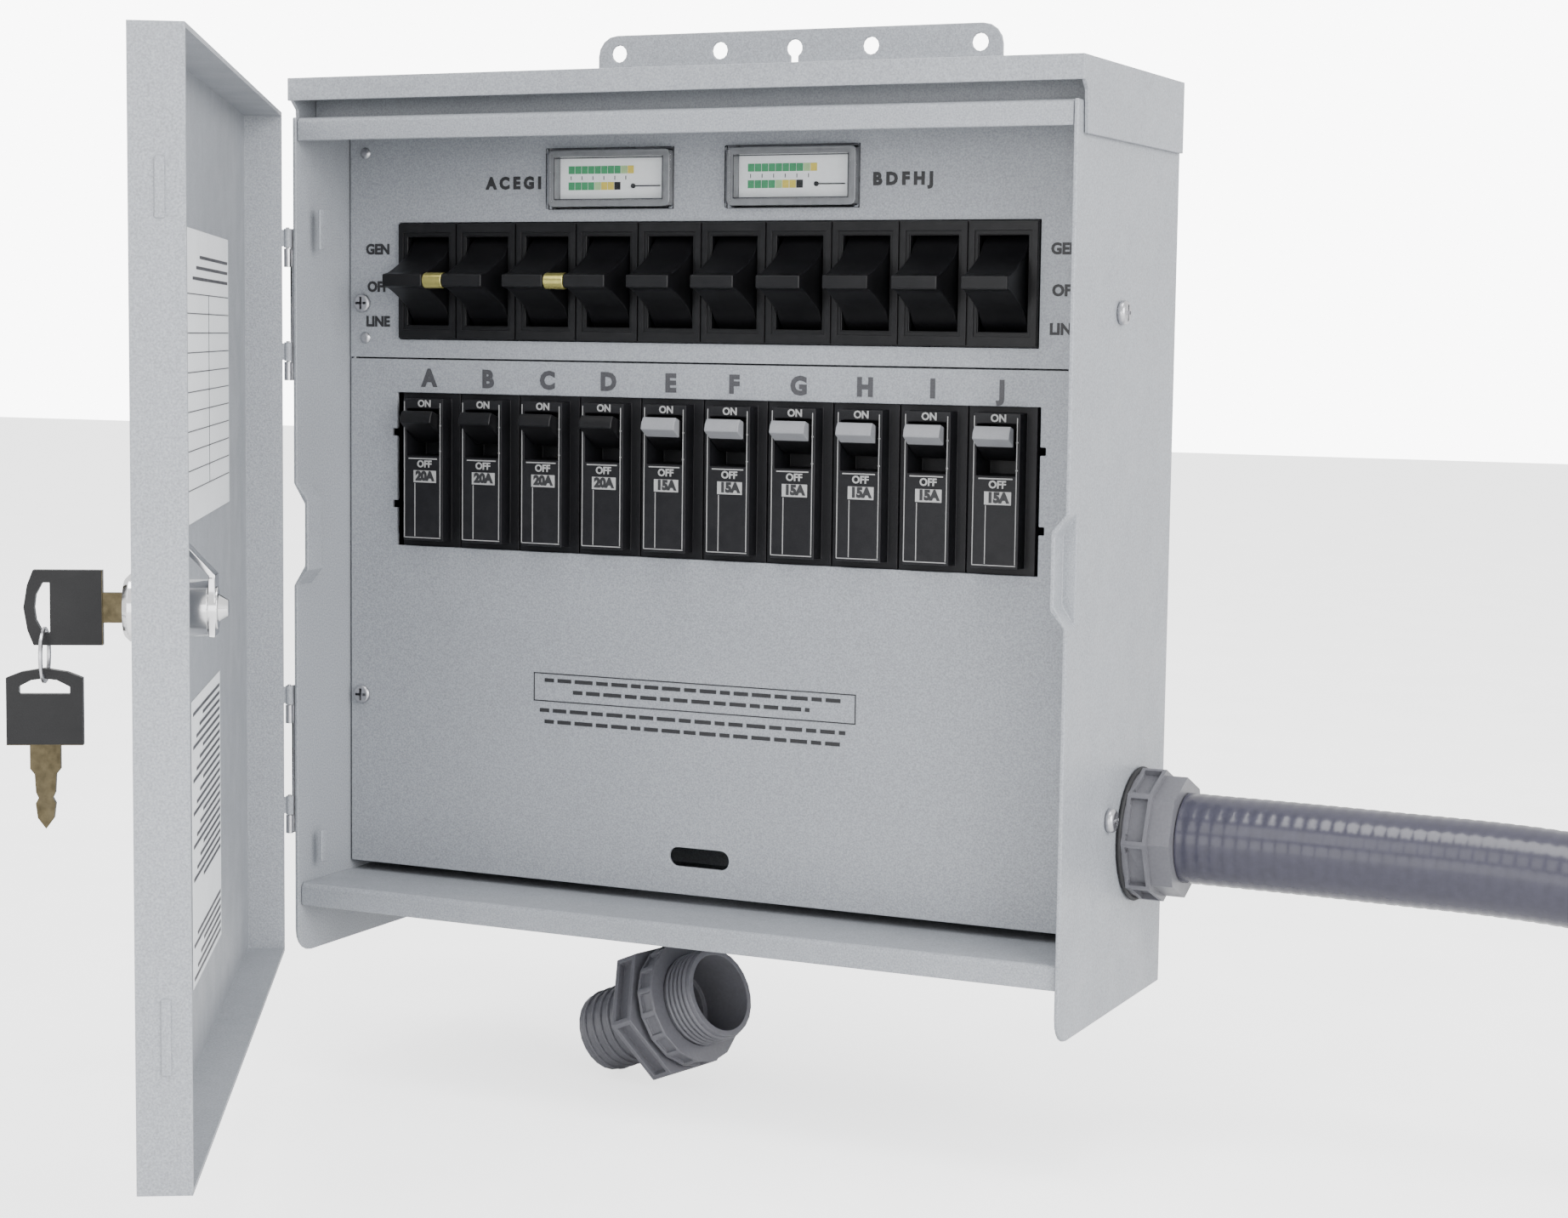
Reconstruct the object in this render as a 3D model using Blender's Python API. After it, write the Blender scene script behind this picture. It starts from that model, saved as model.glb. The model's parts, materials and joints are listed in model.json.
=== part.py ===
"""Manual transfer switch: a ten-circuit box with its door open, and its conduit.

Units are metres.  X runs along the width, Y into the wall, Z up.  The origin is
the centre of the wall face, the rear of the back panel.  Heights in the constants
are measured from the lower edges of the sides, BASE below the origin.
"""
import bpy
import bmesh
from math import atan2, cos, pi, radians, sin
from mathutils import Matrix, Vector

# ---------------------------------------------------------------- driving sizes
BASE = -0.160             # Z of the lower edges of the sides
GAP = 0.0003              # clearance between two pieces that touch
SHEET = 0.0015            # steel sheet of the enclosure
BOX_HALF = 0.1515         # half the outer width of the box
BOX_DEPTH = 0.111         # wall face to the front edges of the sides
BOX_TOP = 0.311
INNER_HALF = BOX_HALF - SHEET - GAP
LEDGE_TOP = 0.0267
LIP = 0.0085              # drop of the front lips

STRIP_HALF = 0.084        # mounting strip above the hood
STRIP_TOP = 0.349
STRIP_HOLE_HEIGHT = 0.342
STRIP_HOLE_RADIUS = 0.00325
STRIP_HOLES = (-0.075, -0.0314, 0.0314, 0.075)

HOOD_TOP = 0.3252
HOOD_LIP = 0.0082
HOOD_SIDE_BOTTOM = 0.3002

SCOOP_LOW = 0.139         # finger scoop in each side's front edge
SCOOP_HIGH = 0.177
SCOOP_SLOPE = 0.0075
SCOOP_INWARD = 0.0048
SCOOP_DEPTH = 0.008

PANEL_FRONT = -0.0763     # front face of the dead front
PANEL_SEAM = 0.2235
PANEL_HIGH = 0.3085
PANEL_LOW = 0.0302
WINDOW_HALF = 0.1285      # breaker window
WINDOW_LOW = 0.153
WINDOW_HIGH = 0.2107
WIRE_SLOT = (0.0006, 0.0440, 0.0242, 0.0070)   # centre X, height, length, width

CHASSIS_BACK = -0.0130    # the steel channel that carries the switches
CHASSIS_LOW = 0.084
CHASSIS_HIGH = 0.300

POLES = "abcdefghij"
PITCH = 0.0254            # one switch or breaker to the next
BANK_CENTRE = 0.2523      # height of the switch row
BANK_HALF = 0.0215
BANK_PROUD = 0.0010
OPENING = (0.0177, 0.0326)
PIVOT_BACK = 0.0140       # switch axle behind the dead front
ROTOR_RADIUS = 0.0190
HANDLE_WIDTH = 0.0168
HANDLE_REACH = 0.0195     # ridge in front of the dead front
RIDGE_HALF = 0.00275

NOSE_PROUD = 0.0045       # breaker nose in front of the dead front
NOSE_WIDTH = 0.0172
TOGGLE_HEIGHT = 0.1960    # height of the toggle's axle
TOGGLE_BACK = 0.0040
TOGGLE_TILT = radians(24)

METER_CENTRES = (-0.0377, 0.0347)
METER_HEIGHT = 0.2895
METER_SIZE = (0.0496, 0.0204)

HINGE_X = -0.1526
HINGE_Y = -0.1126
HINGE_HEIGHTS = (0.046, 0.215)
HINGE_STEP = 0.0415       # lower strap to upper strap of one hinge
DOOR_OPEN = radians(59.7)
DOOR_LEFT = -0.1530
DOOR_RIGHT = 0.1515
DOOR_REAR = -0.1146
DOOR_DEPTH = 0.0150
DOOR_LOW = 0.0010
DOOR_HIGH = 0.3127

LOCK_X = 0.1294           # lock axis with the door shut
LOCK_HEIGHT = 0.158
BARREL_RADIUS = 0.0078
PLUG_RADIUS = 0.0058

CONDUIT_Y = -0.0310
CONDUIT_HEIGHT = 0.0595
CONDUIT_RADIUS = 0.0160
CONDUIT_START = 0.1703
# Hand-chosen points of the conduit's axis: X, Y and height.
CONDUIT_ROUTE = (
    (CONDUIT_START, CONDUIT_Y, CONDUIT_HEIGHT),
    (0.235, -0.0310, 0.0588),
    (0.302, -0.0312, 0.0568),
    (0.375, -0.0325, 0.0480),
    (0.450, -0.0350, 0.0320),
    (0.525, -0.0385, 0.0205),
    (0.600, -0.0425, 0.0170),
)

GROUND = -0.048                   # surface below the box, where a loose fitting lies
LOOSE_AT = (-0.0300, -0.0480)     # centre of its hexagon's rear face, X and Y
LOOSE_YAW = radians(-13)
LOOSE_HEXAGON = 0.0270            # radius to the hexagon's corners
LOOSE_FERRULE = 0.0150
LOOSE_BACK = 0.0280               # hexagon to the ferrule's end
LOOSE_THREAD = 0.0167
LOOSE_NOSE = 0.0330               # hexagon's rear face to the thread's end

# ------------------------------------------------------------------- materials
STEEL_GREY = ((0.42, 0.45, 0.49), 0.5, 0.25)
BLACK_PLASTIC = ((0.018, 0.018, 0.021), 0.45, 0.0)
CHARCOAL = ((0.03, 0.03, 0.034), 0.5, 0.0)
BRASS = ((0.78, 0.62, 0.22), 0.3, 1.0)
ZINC = ((0.62, 0.62, 0.63), 0.3, 1.0)
GREY_NYLON = ((0.24, 0.24, 0.27), 0.45, 0.0)
CONDUIT_GREY = ((0.15, 0.15, 0.20), 0.5, 0.0)
METER_WHITE = ((0.75, 0.76, 0.76), 0.3, 0.0)
TOGGLE_GREY = ((0.36, 0.37, 0.38), 0.5, 0.0)

# Two dimensional drawing planes: local Z is the direction of the extrusion.
FRONT = Matrix(((1, 0, 0, 0), (0, 0, -1, 0), (0, 1, 0, 0), (0, 0, 0, 1)))
SIDE = Matrix(((0, 0, 1, 0), (1, 0, 0, 0), (0, 1, 0, 0), (0, 0, 0, 1)))
PLAN = Matrix.Identity(4)


def clear_scene():
    """Remove what the start-up file holds and make the two collections."""
    for obj in list(bpy.data.objects):
        bpy.data.objects.remove(obj, do_unlink=True)
    for name in ("manual_transfer_switch", "cutters"):
        bpy.context.scene.collection.children.link(bpy.data.collections.new(name))


def link(obj):
    """Put an object in the object's collection."""
    bpy.data.collections["manual_transfer_switch"].objects.link(obj)
    return obj


def paint(obj, look):
    """Give a piece a Principled material of its own."""
    colour, roughness, metallic = look
    material = bpy.data.materials.new(obj.name)
    material.use_nodes = True
    shader = material.node_tree.nodes["Principled BSDF"]
    shader.inputs["Base Color"].default_value = (*colour, 1.0)
    shader.inputs["Roughness"].default_value = roughness
    shader.inputs["Metallic"].default_value = metallic
    obj.data.materials.clear()
    obj.data.materials.append(material)
    return obj


def up(height):
    """World Z of a height above the lower edges of the sides."""
    return BASE + height


def box(name, x, y, h):
    """A block between two values of X, of Y and of height."""
    bm = bmesh.new()
    bmesh.ops.create_cube(bm, size=1.0)
    mesh = bpy.data.meshes.new(name)
    size = Matrix.Diagonal((x[1] - x[0], y[1] - y[0], h[1] - h[0], 1.0))
    bmesh.ops.transform(bm, matrix=size, verts=bm.verts)
    bm.to_mesh(mesh)
    bm.free()
    obj = link(bpy.data.objects.new(name, mesh))
    obj.location = ((x[0] + x[1]) / 2, (y[0] + y[1]) / 2, up((h[0] + h[1]) / 2))
    return obj


def rod(name, radius, start, end, sides=16, end_radius=None):
    """A cylinder, prism or cone frustum from one point to another."""
    start = Vector(start)
    end = Vector(end)
    bm = bmesh.new()
    bmesh.ops.create_cone(bm, cap_ends=True, segments=sides, radius1=radius,
                          radius2=radius if end_radius is None else end_radius,
                          depth=(end - start).length)
    mesh = bpy.data.meshes.new(name)
    bm.to_mesh(mesh)
    bm.free()
    obj = link(bpy.data.objects.new(name, mesh))
    turn = Vector((0, 0, 1)).rotation_difference(end - start)
    obj.matrix_world = Matrix.Translation((start + end) / 2) @ turn.to_matrix().to_4x4()
    return obj


def settle(obj):
    """Replace an object's data by its evaluated, welded mesh."""
    bpy.context.view_layer.update()
    graph = bpy.context.evaluated_depsgraph_get()
    mesh = bpy.data.meshes.new_from_object(obj.evaluated_get(graph))
    bm = bmesh.new()
    bm.from_mesh(mesh)
    bmesh.ops.remove_doubles(bm, verts=bm.verts, dist=0.00001)
    bm.to_mesh(mesh)
    bm.free()
    name = obj.name
    matrix = obj.matrix_world.copy()
    bpy.data.objects.remove(obj, do_unlink=True)
    new = link(bpy.data.objects.new(name, mesh))
    new.matrix_world = matrix
    return new


def extrusion(name, loops, plane, span):
    """A flat outline, with any further loops as holes, extruded over a span."""
    curve = bpy.data.curves.new(name, "CURVE")
    curve.dimensions = "2D"
    curve.fill_mode = "BOTH"
    curve.extrude = abs(span[1] - span[0]) / 2
    for loop in loops:
        spline = curve.splines.new("POLY")
        spline.points.add(len(loop) - 1)
        for point, (x, y) in zip(spline.points, loop):
            point.co = (x, y, 0.0, 1.0)
        spline.use_cyclic_u = True
    obj = link(bpy.data.objects.new(name, curve))
    normal = Vector([plane[row][2] for row in range(3)])
    obj.matrix_world = Matrix.Translation(normal * (span[0] + span[1]) / 2) @ plane
    return settle(obj)


def rectangle(x, y, radius=0.0, steps=3):
    """Corner points of a rectangle, its corners rounded by short chords."""
    if radius == 0.0:
        return [(x[0], y[0]), (x[1], y[0]), (x[1], y[1]), (x[0], y[1])]
    corners = ((x[1], y[0], -1, 1, 1.5), (x[1], y[1], -1, -1, 0.0),
               (x[0], y[1], 1, -1, 0.5), (x[0], y[0], 1, 1, 1.0))
    points = []
    for cx, cy, sx, sy, turn in corners:
        for step in range(steps + 1):
            angle = pi * (turn + 0.5 * step / steps)
            points.append((cx + radius * (sx + cos(angle)), cy + radius * (sy + sin(angle))))
    return points


def arc(centre, radius, start, end, steps):
    """Points along an arc; the angles are in radians."""
    span = [start + (end - start) * step / steps for step in range(steps + 1)]
    return [(centre[0] + radius * cos(a), centre[1] + radius * sin(a)) for a in span]


def circle(x, y, radius, sides=16):
    """Points of a whole circle."""
    return arc((x, y), radius, 0.0, 2 * pi * (sides - 1) / sides, sides - 1)


def heights(points):
    """Turn drawing points whose second value is a height into world Z."""
    return [(x, up(h)) for x, h in points]


def combine(obj, other, operation):
    """Apply one exact Boolean and remove the second object."""
    modifier = obj.modifiers.new(operation.lower(), "BOOLEAN")
    modifier.operation = operation
    modifier.object = other
    modifier.solver = "EXACT"
    result = settle(obj)
    bpy.data.objects.remove(other, do_unlink=True)
    return result


def cut(obj, *cutters):
    """Take each cutter's volume away."""
    for cutter in cutters:
        obj = combine(obj, cutter, "DIFFERENCE")
    return obj


def fuse(obj, *others):
    """Join overlapping solids into one body."""
    for other in others:
        obj = combine(obj, other, "UNION")
    return obj


def pivot(obj, point):
    """Move an object's origin without moving its shape."""
    shift = obj.matrix_world.inverted() @ Vector(point)
    obj.data.transform(Matrix.Translation(-shift))
    obj.matrix_world = obj.matrix_world @ Matrix.Translation(shift)
    return obj


# ------------------------------------------------------------------- enclosure
def back_panel():
    """Rear sheet with the mounting strip that stands above the hood."""
    outline = [(-INNER_HALF, 0.0), (INNER_HALF, 0.0), (INNER_HALF, BOX_TOP - 0.002)]
    radius = 0.008
    outline += [(STRIP_HALF, BOX_TOP - 0.002)]
    outline += arc((STRIP_HALF - radius, STRIP_TOP - radius), radius, 0.0, pi / 2, 4)
    outline += arc((radius - STRIP_HALF, STRIP_TOP - radius), radius, pi / 2, pi, 4)
    outline += [(-STRIP_HALF, BOX_TOP - 0.002), (-INNER_HALF, BOX_TOP - 0.002)]
    loops = [outline]
    for x in STRIP_HOLES:
        loops.append(circle(x, STRIP_HOLE_HEIGHT, STRIP_HOLE_RADIUS, 12))
    slot = radians(28)
    keyhole = arc((0, STRIP_HOLE_HEIGHT), STRIP_HOLE_RADIUS, slot - pi / 2, 1.5 * pi - slot, 12)
    half = STRIP_HOLE_RADIUS * sin(slot)
    keyhole += [(-half, STRIP_HOLE_HEIGHT - 0.007), (half, STRIP_HOLE_HEIGHT - 0.007)]
    loops.append(keyhole)
    obj = extrusion("back_panel", [heights(loop) for loop in loops], FRONT, (0.0, SHEET))
    return paint(obj, STEEL_GREY)


def scoop_outline(side, inward, slack):
    """Trapezium of the finger scoop, drawn on X and height."""
    outer = side * (BOX_HALF + 0.002)
    inner = side * (BOX_HALF - inward)
    edge = side * BOX_HALF
    low = SCOOP_LOW - slack
    high = SCOOP_HIGH + slack
    return [(outer, low), (edge, low), (inner, low + SCOOP_SLOPE),
            (inner, high - SCOOP_SLOPE), (edge, high), (outer, high)]


def side_panel(name, side):
    """One side sheet, its front edge pressed inwards as a finger scoop."""
    inner = side * (BOX_HALF - SHEET)
    outer = side * BOX_HALF
    span = (min(inner, outer), max(inner, outer))
    outline = [(0.0, 0.0), (0.0, BOX_TOP), (-BOX_DEPTH, BOX_TOP)]
    outline += arc((0.009 - BOX_DEPTH, 0.009), 0.009, pi, 1.5 * pi, 5)
    loops = [outline]
    if side > 0:
        loops.append(circle(CONDUIT_Y, CONDUIT_HEIGHT, 0.0150, 24))
    obj = extrusion(name, [heights(loop) for loop in loops], SIDE, span)
    front = (BOX_DEPTH - SCOOP_DEPTH - SHEET, BOX_DEPTH)
    lump = extrusion("lump", [heights(scoop_outline(side, SCOOP_INWARD + SHEET, SHEET))],
                     FRONT, front)
    spill = box("spill", sorted((outer, outer + side * 0.02)), (-0.2, 0.0), (0.1, 0.2))
    lump = cut(lump, spill)
    obj = fuse(obj, lump)
    hollow = extrusion("hollow", [heights(scoop_outline(side, SCOOP_INWARD, 0.0))],
                       FRONT, (BOX_DEPTH - SCOOP_DEPTH, BOX_DEPTH + 0.002))
    return paint(cut(obj, hollow), STEEL_GREY)


def lipped_plate(name, top, lip_front):
    """A level plate between the sides with a lip turned down at its front."""
    rear = -SHEET - GAP
    radius = 0.002
    outline = [(rear, top), (rear, top - SHEET), (lip_front + SHEET, top - SHEET),
               (lip_front + SHEET, top - LIP), (lip_front, top - LIP)]
    outline += arc((lip_front + radius, top - radius), radius, pi, pi / 2, 3)
    obj = extrusion(name, [heights(outline)], SIDE, (-INNER_HALF, INNER_HALF))
    return paint(obj, STEEL_GREY)


def hood():
    """Rain hood: a tray turned over, its fascia shallower than its sides.

    Its rear wall stops above the top plate, which runs back to the back panel.
    """
    half = BOX_HALF + GAP
    front = -BOX_DEPTH - 0.0005
    rear = -SHEET - GAP
    obj = box("hood", (-half - SHEET, half + SHEET), (front, rear), (HOOD_SIDE_BOTTOM, HOOD_TOP))
    inside = box("inside", (-half, half), (front + SHEET, rear - SHEET), (0.29, HOOD_TOP - SHEET))
    behind = box("behind", (-half, half), (rear - 0.01, 0.01), (0.28, BOX_TOP + GAP))
    nose = extrusion("nose", [heights([(front - 0.01, 0.29), (front + 0.0065, 0.29),
                                       (front + 0.0050, HOOD_TOP - HOOD_LIP - 0.003),
                                       (front + 0.0020, HOOD_TOP - HOOD_LIP),
                                       (front - 0.01, HOOD_TOP - HOOD_LIP)])],
                     SIDE, (-0.2, 0.2))
    return paint(cut(obj, inside, behind, nose), STEEL_GREY)


def dead_front(name, low, high, windows):
    """One sheet of the dead front, with its windows."""
    loops = [rectangle((-INNER_HALF + 0.0005, INNER_HALF - 0.0005), (low, high))] + windows
    span = (-PANEL_FRONT - SHEET, -PANEL_FRONT)
    return paint(extrusion(name, [heights(loop) for loop in loops], FRONT, span), STEEL_GREY)


def switch_panel():
    """Upper dead front, with windows for the switch bank and the two meters."""
    half = BANK_HALF + GAP
    wide = 5 * PITCH + GAP
    windows = [rectangle((-wide, wide), (BANK_CENTRE - half, BANK_CENTRE + half))]
    for x in METER_CENTRES:
        w = METER_SIZE[0] / 2 + GAP
        t = METER_SIZE[1] / 2 + GAP
        windows.append(rectangle((x - w, x + w), (METER_HEIGHT - t, METER_HEIGHT + t), 0.0018, 2))
    return dead_front("switch_panel", PANEL_SEAM + GAP, PANEL_HIGH, windows)


def lower_cover():
    """Lower dead front, with the notched breaker window and the wire slot."""
    left = -WINDOW_HALF
    window = [(left, WINDOW_LOW), (-left, WINDOW_LOW)]
    for h in (0.1686, 0.1957):
        window += [(-left, h - 0.0014), (0.002 - left, h - 0.0014),
                   (0.002 - left, h + 0.0014), (-left, h + 0.0014)]
    window += [(-left, WINDOW_HIGH), (left, WINDOW_HIGH)]
    for h in (0.1957, 0.1686):
        window += [(left, h + 0.0014), (left - 0.002, h + 0.0014),
                   (left - 0.002, h - 0.0014), (left, h - 0.0014)]
    x, h, length, width = WIRE_SLOT
    slot = rectangle((x - length / 2, x + length / 2), (h - width / 2, h + width / 2),
                     width / 2 - 0.0001, 5)
    return dead_front("lower_cover", PANEL_LOW, PANEL_SEAM - GAP, [window, slot])


def inner_chassis():
    """Steel channel behind the dead front, open to the front."""
    half = INNER_HALF
    rear = CHASSIS_BACK
    front = PANEL_FRONT + SHEET + GAP
    outline = [(-half, rear), (-half, front), (SHEET - half, front), (SHEET - half, rear - SHEET),
               (half - SHEET, rear - SHEET), (half - SHEET, front), (half, front), (half, rear)]
    obj = extrusion("inner_chassis", [outline], PLAN, (up(CHASSIS_LOW), up(CHASSIS_HIGH)))
    return paint(obj, ZINC)


def neutral_bar():
    """Terminal bar in the wiring space, with the wire holes through it."""
    rear = CHASSIS_BACK - SHEET - GAP
    obj = box("neutral_bar", (-0.060, 0.060), (rear - 0.009, rear), (0.118, 0.129))
    holes = [rectangle((-0.0525 + 0.015 * n, -0.0465 + 0.015 * n), (rear - 0.0075, rear - 0.0025))
             for n in range(8)]
    for n, loop in enumerate(holes):
        obj = cut(obj, extrusion("wire_hole_%d" % n, [loop], PLAN, (up(0.11), up(0.14))))
    return paint(obj, BRASS)


# ------------------------------------------------------- switches and breakers
def pole_x(index):
    """X of a pole, counted from the left."""
    return (index - 4.5) * PITCH


def switch_bank():
    """The row of ten switch housings, one moulding with ten pockets."""
    front = PANEL_FRONT - BANK_PROUD
    rear = CHASSIS_BACK - SHEET - GAP
    low = BANK_CENTRE - BANK_HALF
    high = BANK_CENTRE + BANK_HALF
    obj = box("switch_bank", (-5 * PITCH, 5 * PITCH), (front, rear), (low, high))
    axle = PANEL_FRONT + PIVOT_BACK
    for index in range(10):
        x = pole_x(index)
        w = OPENING[0] / 2
        t = OPENING[1] / 2
        mouth = box("mouth", (x - w, x + w), (front - 0.01, front + 0.004),
                    (BANK_CENTRE - t, BANK_CENTRE + t))
        pocket = box("pocket", (x - 0.0104, x + 0.0104), (front + 0.0025, axle + 0.0055),
                     (low + 0.0013, high - 0.0013))
        obj = cut(obj, fuse(mouth, pocket))
    return paint(obj, BLACK_PLASTIC)


def handle_profile():
    """Side view of a handle about its axle: Y, then height."""
    skirt = radians(72)
    points = arc((0, 0), ROTOR_RADIUS, pi - skirt, pi - radians(30), 3)
    reach = -PIVOT_BACK - HANDLE_REACH
    waist = -ROTOR_RADIUS * cos(radians(30))
    for step in range(1, 5):
        angle = pi / 2 * step / 4
        y = waist + (reach + 0.003 - waist) * sin(angle)
        h = RIDGE_HALF + (ROTOR_RADIUS * 0.5 - RIDGE_HALF) * (1 - sin(angle)) ** 1.2
        points.append((y, h))
    points.append((reach, RIDGE_HALF * 0.8))
    points += [(y, -h) for y, h in reversed(points)]
    return points + [(0.0035, -0.0050), (0.0035, 0.0050)]


def switch_handle(index):
    """One three-position handle with its axle, at rest in the middle."""
    x = pole_x(index)
    half = HANDLE_WIDTH / 2
    axle = Vector((x, PANEL_FRONT + PIVOT_BACK, up(BANK_CENTRE)))
    outline = [(axle.y + y, axle.z + h) for y, h in handle_profile()]
    obj = extrusion("switch_handle_" + POLES[index], [outline], SIDE, (x - half, x + half))
    reach = 0.0104 - GAP
    pin = rod("pin", 0.0025, axle - Vector((reach, 0, 0)), axle + Vector((reach, 0, 0)), 8)
    return paint(pivot(fuse(obj, pin), axle), BLACK_PLASTIC)


def handle_tie(name, index):
    """Brass sleeve that joins the ridges of two neighbouring handles."""
    start = pole_x(index) + HANDLE_WIDTH / 2 + GAP
    end = pole_x(index + 1) - HANDLE_WIDTH / 2 - GAP
    y = PANEL_FRONT - HANDLE_REACH + 0.0030
    z = up(BANK_CENTRE)
    obj = rod(name, 0.0030, (start, y, z), (end, y, z), 16)
    pivot(obj, (pole_x(index), PANEL_FRONT + PIVOT_BACK, z))
    return paint(obj, BRASS)


def breaker(index):
    """One single-pole breaker; its nose comes through the window."""
    x = pole_x(index)
    half = PITCH / 2 - GAP / 2
    face = PANEL_FRONT + SHEET + GAP
    rear = CHASSIS_BACK - SHEET - GAP
    obj = box("breaker_" + POLES[index], (x - half, x + half), (face, rear), (0.148, 0.2165))
    w = NOSE_WIDTH / 2
    nose = box("nose", (x - w, x + w), (PANEL_FRONT - NOSE_PROUD, face + 0.01), (0.1555, 0.2085))
    mouth = box("mouth", (x - 0.0072, x + 0.0072), (-0.2, PANEL_FRONT + TOGGLE_BACK + 0.005),
                (0.1872, 0.2048))
    return paint(cut(fuse(obj, nose), mouth), CHARCOAL)


def breaker_toggle(index):
    """One breaker's toggle, stored up, which is on."""
    x = pole_x(index)
    axle = Vector((x, PANEL_FRONT + TOGGLE_BACK, up(TOGGLE_HEIGHT)))
    outline = arc((0, 0), 0.0042, pi / 2, -pi / 2, 4)
    outline += [(-0.0148, -0.0024), (-0.0153, 0.0), (-0.0148, 0.0024)]
    turned = []
    for y, h in outline:
        turned.append((axle.y + y * cos(TOGGLE_TILT) + h * sin(TOGGLE_TILT),
                       axle.z - y * sin(TOGGLE_TILT) + h * cos(TOGGLE_TILT)))
    obj = extrusion("breaker_toggle_" + POLES[index], [turned], SIDE, (x - 0.0067, x + 0.0067))
    look = BLACK_PLASTIC if index < 4 else TOGGLE_GREY
    return paint(pivot(obj, axle), look)


def meter(name, x):
    """Panel meter: a case with a shallow dial recess."""
    front = PANEL_FRONT - 0.0022
    w = METER_SIZE[0] / 2
    t = METER_SIZE[1] / 2
    outline = rectangle((x - w, x + w), (METER_HEIGHT - t, METER_HEIGHT + t), 0.0018, 2)
    obj = extrusion(name, [heights(outline)], FRONT, (-front - 0.017, -front))
    dial = box("dial", (x - w + 0.003, x + w - 0.003), (-0.2, front + 0.004),
               (METER_HEIGHT - t + 0.0025, METER_HEIGHT + t - 0.0025))
    return paint(cut(obj, dial), METER_WHITE)


def meter_needle(name, x):
    """Pointer on a small hub, in the meter's recess."""
    hub = Vector((x + 0.0085, PANEL_FRONT + 0.0009, up(METER_HEIGHT - 0.0027)))
    obj = rod(name, 0.0009, hub, hub + Vector((0, 0.0006, 0)), 8)
    pointer = box("pointer", (hub.x, hub.x + 0.0110), (hub.y + 0.0001, hub.y + 0.0005),
                  (METER_HEIGHT - 0.0029, METER_HEIGHT - 0.0025))
    return paint(pivot(fuse(obj, pointer), hub), CHARCOAL)


# --------------------------------------------------------------- door and lock
def hinge(name, low):
    """Fixed leaf with two knuckles and their pins."""
    outer = -BOX_HALF - GAP
    leaf = box(name, (outer - 0.0010, outer), (-0.1108, -0.096), (low, low + 0.0555))
    for start in (low, low + HINGE_STEP):
        foot = up(start)
        knuckle = rod("knuckle", 0.0014, (HINGE_X, HINGE_Y, foot),
                      (HINGE_X, HINGE_Y, foot + 0.0068), 12)
        pin = rod("pin", 0.0007, (HINGE_X, HINGE_Y, foot + 0.006),
                  (HINGE_X, HINGE_Y, foot + 0.0145), 8)
        web = box("web", (outer - 0.0009, outer - 0.0002), (HINGE_Y, -0.1100),
                  (start + 0.0004, start + 0.0064))
        leaf = fuse(leaf, web, knuckle, pin)
    return paint(leaf, ZINC)


def door_knuckle(foot):
    """Bored knuckle of the door, with the web that carries it."""
    low = foot + 0.0071
    tube = rod("tube", 0.0014, (HINGE_X, HINGE_Y, up(low)), (HINGE_X, HINGE_Y, up(foot + 0.014)), 12)
    web = box("web", (HINGE_X - 0.0004, HINGE_X + 0.0006), (DOOR_REAR - 0.001, HINGE_Y),
              (low + 0.0004, foot + 0.0136))
    tube = fuse(tube, web)
    bore = rod("bore", 0.0010, (HINGE_X, HINGE_Y, up(foot)), (HINGE_X, HINGE_Y, up(foot + 0.02)), 8)
    return cut(tube, bore)


def door_panel():
    """Door pan: a face with four returns, a lock hole and four knuckles."""
    face = DOOR_REAR - DOOR_DEPTH
    obj = box("door_panel", (DOOR_LEFT, DOOR_RIGHT), (face, DOOR_REAR), (DOOR_LOW, DOOR_HIGH))
    inside = box("inside", (DOOR_LEFT + SHEET, DOOR_RIGHT - SHEET), (face + SHEET, 0.0),
                 (DOOR_LOW + SHEET, DOOR_HIGH - SHEET))
    hole = rod("hole", BARREL_RADIUS + GAP, (LOCK_X, face - 0.01, up(LOCK_HEIGHT)),
               (LOCK_X, face + 0.01, up(LOCK_HEIGHT)), 24)
    obj = cut(obj, inside, hole)
    for low in HINGE_HEIGHTS:
        for start in (low, low + HINGE_STEP):
            obj = fuse(obj, door_knuckle(start))
    return paint(obj, STEEL_GREY)


def lock_point(outward, height=0.0):
    """A point on the lock's axis, outwards from the shut door's face."""
    return Vector((LOCK_X, DOOR_REAR - DOOR_DEPTH - outward, up(LOCK_HEIGHT + height)))


def lock_barrel():
    """Lock body with a round head, bored for its plug."""
    head = rod("lock_barrel", 0.0093, lock_point(GAP), lock_point(0.0030), 24)
    crown = rod("crown", 0.0093, lock_point(0.0030), lock_point(0.0045), 24, 0.0078)
    body = rod("body", BARREL_RADIUS, lock_point(0.002), lock_point(-0.0180), 24)
    bore = rod("bore", PLUG_RADIUS + 0.0002, lock_point(0.01), lock_point(-0.03), 20)
    return paint(cut(fuse(head, crown, body), bore), ZINC)


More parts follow.
